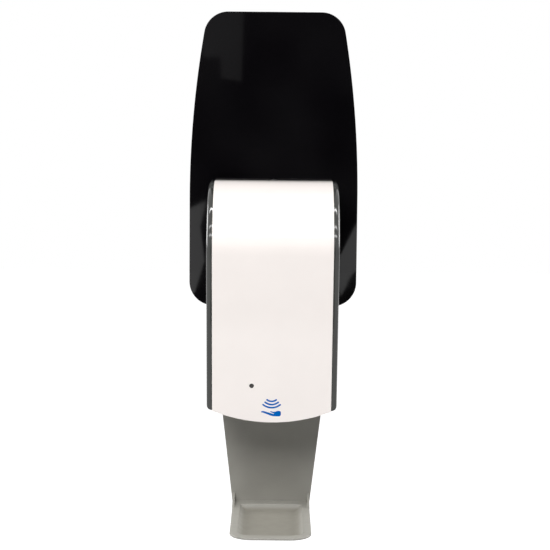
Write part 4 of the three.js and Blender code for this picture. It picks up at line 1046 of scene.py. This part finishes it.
class DISPENSER_OT_chassis(bpy.types.Operator):
    """Finishes the rear chassis, the hinge pins and the key lock"""

    bl_idname = "dispenser.chassis"
    bl_label = "Chassis and Lock"

    edge: length("Edge", "Rounding of the chassis's edges", 0.4)

    def execute(self, context):
        dress_each(
            self.edge,
            ("chassis", 1, "chassis"),
            ("side", 1 / 3, "lock_barrel"),
            ("zinc", 1 / 3, "lock_cam", "hinge_pin_left", "hinge_pin_right"),
        )
        return {"FINISHED"}


class DISPENSER_OT_mechanism(bpy.types.Operator):
    """Finishes the mechanism box, the pump, its gears, the motor, the hoses and the nozzle"""

    bl_idname = "dispenser.mechanism"
    bl_label = "Mechanism"

    edge: length("Edge", "Rounding of the mouldings' edges", 0.4)

    def execute(self, context):
        dress_each(
            self.edge,
            ("housing", 1, "mechanism_box", "box_lid", "pump_body", "pump_plate"),
            ("gear", 0, "drive_gear", "driven_gear"),
            ("steel", 1 / 2, "motor", "gear_axle"),
            ("silicone", 1 / 2, "inlet_hose", "outlet_hose"),
            ("chassis", 1 / 2, "nozzle"),
        )
        return {"FINISHED"}


class DISPENSER_OT_electronics(bpy.types.Operator):
    """Finishes the boards, the sensor, the status lamp, the power switch and the leads"""

    bl_idname = "dispenser.electronics"
    bl_label = "Electronics"

    edge: length("Edge", "Rounding of the small pieces' edges", 0.2)

    def execute(self, context):
        dress_each(
            self.edge,
            ("circuit", 1, "main_board", "sensor_board"),
            ("chip", 1, "controller_chip", "switch_body"),
            ("panel", 1, "switch_slider"),
            ("window", 1, "infrared_emitter", "infrared_receiver", "sensor_window"),
            ("lens", 1, "status_lamp"),
        )
        for name in ("motor_lead", "sensor_lead"):
            dress(name, "lead", angle=65)
        return {"FINISHED"}


class DISPENSER_OT_batteries(bpy.types.Operator):
    """Finishes the battery box, its cells, contacts and sliding lid"""

    bl_idname = "dispenser.batteries"
    bl_label = "Batteries"

    edge: length("Edge", "Rounding of the box's edges", 0.4)

    def execute(self, context):
        dress_each(
            self.edge,
            ("housing", 1, "battery_box"),
            ("chassis", 1, "battery_lid"),
            ("cell", 1, *numbered("battery_cell_")),
            ("brass", 1 / 4, "battery_contacts_lower", "battery_contacts_upper"),
        )
        return {"FINISHED"}


class DISPENSER_OT_screws(bpy.types.Operator):
    """Finishes all the screws"""

    bl_idname = "dispenser.screws"
    bl_label = "Screws"

    def execute(self, context):
        for name in frame["nodes"]:
            if "_screw_" in name:
                dress(name, "zinc")
        return {"FINISHED"}


# Stage: floor, world, lamps and camera

# Lamps: place, size, power, whether they light surfaces, and whether reflections show them. The rear lamps
# brighten the tray's rims, and the strips only draw glints on the glossy bends.
LAMPS = {
    "key": ((-0.35, -1.75, 1.4), (1.4, 1.6), 65, True, False),
    "left_side": ((-1.5, -0.25, 1.15), (0.8, 0.8), 4, True, False),
    "right_side": ((1.5, -0.25, 1.15), (0.8, 0.8), 3, True, False),
    "left_rear": ((-1.3, 0.5, 0.2), (0.8, 0.6), 14, True, True),
    "right_rear": ((1.3, 0.5, 0.2), (0.8, 0.6), 13, True, True),
    "strip_front": ((0.0, -1.15, 0.99), (2.4, 0.12), 9, False, True),
    "strip_low": ((0.0, -1.45, 0.69), (2.4, 0.12), 8, False, True),
    "strip_high": ((0.0, -0.42, 1.5), (2.4, 0.12), 22, False, True),
}
# Outlines of two cards, in millimetres. The dark one's slanted notches leave soft grey shapes on the board,
# and the pale one in front of it leaves a faint patch high on the board.
DARK_CARD = [
    (-200, -430), (200, -430), (200, -310), (172, -344), (147, -390), (139, -351), (140, -314), (176, -237),
    (200, -200), (200, 260), (-200, 260), (-200, -205), (-149, -181), (-162, -237), (-153, -314),
    (-174, -384), (-200, -395),
]
PALE_CARD = [(-158, 130), (-120, 130), (-118, 85), (-74, 78), (-70, 240), (-170, 240)]

WHITE = (1, 1, 1, 1)
MATT = 0.9


class DISPENSER_OT_stage(bpy.types.Operator):
    """Makes the floor, the studio light and the camera"""

    bl_idname = "dispenser.stage"
    bl_label = "Stage"

    camera_x: length("Camera place", "Its distance from the middle", 2.2)
    camera_out: length("Camera distance", "Its distance from the wall", 1705)
    camera_z: length("Camera height", "Height of the camera", 82.7)
    tilt: slant("Tilt", "How far the camera looks down", 6.7615)
    roll: slant("Roll", "Turn of the camera about its view", 0.52)
    lens: number("Lens", "Focal length in millimetres", 107.875)
    ambient: number("Ambient", "Strength of the world's light", 0.02)
    floor_half: length("Floor", "Half width of the floor", 6000)
    floor_grey: number("Floor grey", "Reflectance of the floor", 0.45)
    floor_glow: number("Floor glow", "Brightness added to the floor", 0.9)
    far_glow: number("Far glow", "Brightness added far away", 1.0)
    glow_start: length("Glow start", "Where the glow starts to rise", 800)
    glow_end: length("Glow end", "Where the far glow is reached", 2000)
    card_out: length("Card distance", "Place of the dark card", 1900)
    card_gap: length("Card gap", "Distance between the two cards", 10)
    card_black: number("Card black", "Reflectance of the cards", 0.004)
    card_glow: number("Card glow", "Brightness of the dark card's patches", 0.1)
    patch_glow: number("Patch glow", "Brightness of the pale card", 0.32)
    card_patches: number("Card patches", "Scale of the cards' patches", 5)

    def background_rays(self, tree):
        """1 for rays that should see the plain background, or else 0."""
        path = tree.nodes.new("ShaderNodeLightPath")
        total = path.outputs["Is Camera Ray"]
        for name in ("Is Glossy Ray", "Is Transmission Ray"):
            total = calculate(tree, "MAXIMUM", total, path.outputs[name])
        return total

    def world(self):
        world = bpy.data.worlds.new("studio")
        world.use_nodes = True
        tree = world.node_tree
        light = fill(tree.nodes["Background"], Color=WHITE)
        strength = fill(tree.nodes.new("ShaderNodeMapRange"), To_Min=self.ambient)
        tree.links.new(self.background_rays(tree), strength.inputs["Value"])
        tree.links.new(strength.outputs["Result"], light.inputs["Strength"])
        bpy.context.scene.world = world

    def floor(self, sizes):
        half = self.floor_half
        z = CAD_BOX[0].z - sizes.floor_drop
        corners = [(x, y, z) for x, y in rectangle(-half, half, -half, half)]
        floor = new_piece("floor", corners, [(0, 1, 2, 3)])
        finish = Finish("pale floor", (self.floor_grey,) * 3, MATT, Emission_Color=WHITE)
        distance = finish.mapped("ShaderNodeVectorMath")
        distance.operation = "LENGTH"
        reach = (self.glow_start, self.glow_end)
        glow = finish.span(distance.outputs["Value"], *reach, self.floor_glow, self.far_glow)
        seen = calculate(finish.tree, "MULTIPLY", self.background_rays(finish.tree), glow)
        finish.drive("Emission Strength", seen)
        floor.data.materials.append(finish.material)

    def card(self, name, out, outline, low, high):
        """A card behind the camera that only reflections see, with a glow that varies softly."""
        card = slab(name, "out", out, out + OVERRUN, [(x * MM, z * MM) for x, z in outline])
        finish = Finish(name, (self.card_black,) * 3, MATT, IOR=1.0, Emission_Color=WHITE)
        glow = finish.patches(self.card_patches, detail=1, low=low, high=high)
        finish.drive("Emission Strength", glow)
        card.data.materials.append(finish.material)
        card.visible_camera = card.visible_diffuse = card.visible_shadow = card.visible_transmission = False

    def lamps(self):
        target = Vector((0, -FRONT / 2, BOTTOM / 2))
        for name, (where, size, power, lights, shows) in LAMPS.items():
            data = bpy.data.lights.new(name, "AREA")
            data.shape = "RECTANGLE"
            data.size, data.size_y = size
            data.energy = power
            lamp = add(bpy.data.objects.new(name, data))
            lamp.location = where
            lamp.rotation_euler = (target - lamp.location).to_track_quat("-Z", "Y").to_euler()
            lamp.visible_camera = False
            lamp.visible_diffuse = lights
            lamp.visible_glossy = shows

    def camera(self):
        data = bpy.data.cameras.new("camera")
        data.lens = self.lens
        data.clip_start = 10 * MM
        camera = add(bpy.data.objects.new("camera", data))
        turn = Matrix.Rotation(QUARTER - self.tilt, 4, "X") @ Matrix.Rotation(self.roll, 4, "Z")
        camera.matrix_world = Matrix.Translation(place(self.camera_x, self.camera_out, self.camera_z)) @ turn
        bpy.context.scene.camera = camera

    def execute(self, context):
        context.scene.view_settings.view_transform = "Standard"
        self.world()
        self.floor(context.scene.dispenser_sizes)
        self.card("dark_card", self.card_out, DARK_CARD, 0, self.card_glow)
        pale_out = self.card_out - self.card_gap
        self.card("pale_card", pale_out, PALE_CARD, self.patch_glow / 2, self.patch_glow)
        self.lamps()
        self.camera()
        return {"FINISHED"}


OPERATORS = (
    DISPENSER_OT_board, DISPENSER_OT_panel, DISPENSER_OT_sides, DISPENSER_OT_sign, DISPENSER_OT_tray,
    DISPENSER_OT_reservoir, DISPENSER_OT_chassis, DISPENSER_OT_mechanism, DISPENSER_OT_electronics,
    DISPENSER_OT_batteries, DISPENSER_OT_screws, DISPENSER_OT_stage,
)


class DISPENSER_PT_panel(bpy.types.Panel):
    """Lists the steps that dress the dispenser"""

    bl_label = "Soap Dispenser"
    bl_space_type = "VIEW_3D"
    bl_region_type = "UI"
    bl_category = "Dispenser"

    def draw(self, context):
        for group in (context.scene.dispenser_sizes, context.scene.dispenser_colours):
            for name in type(group).__annotations__:
                self.layout.prop(group, name)
        for operator in OPERATORS:
            self.layout.operator(operator.bl_idname)


CLASSES = (DispenserSizes, DispenserColours, *OPERATORS, DISPENSER_PT_panel)


def register():
    for cls in CLASSES:
        bpy.utils.register_class(cls)
    bpy.types.Scene.dispenser_sizes = PointerProperty(type=DispenserSizes)
    bpy.types.Scene.dispenser_colours = PointerProperty(type=DispenserColours)


def unregister():
    del bpy.types.Scene.dispenser_colours
    del bpy.types.Scene.dispenser_sizes
    for cls in reversed(CLASSES):
        bpy.utils.unregister_class(cls)


def main():
    register()
    for operator in OPERATORS:
        getattr(bpy.ops.dispenser, operator.bl_idname.split(".")[1])()


if __name__ == "__main__":
    main()
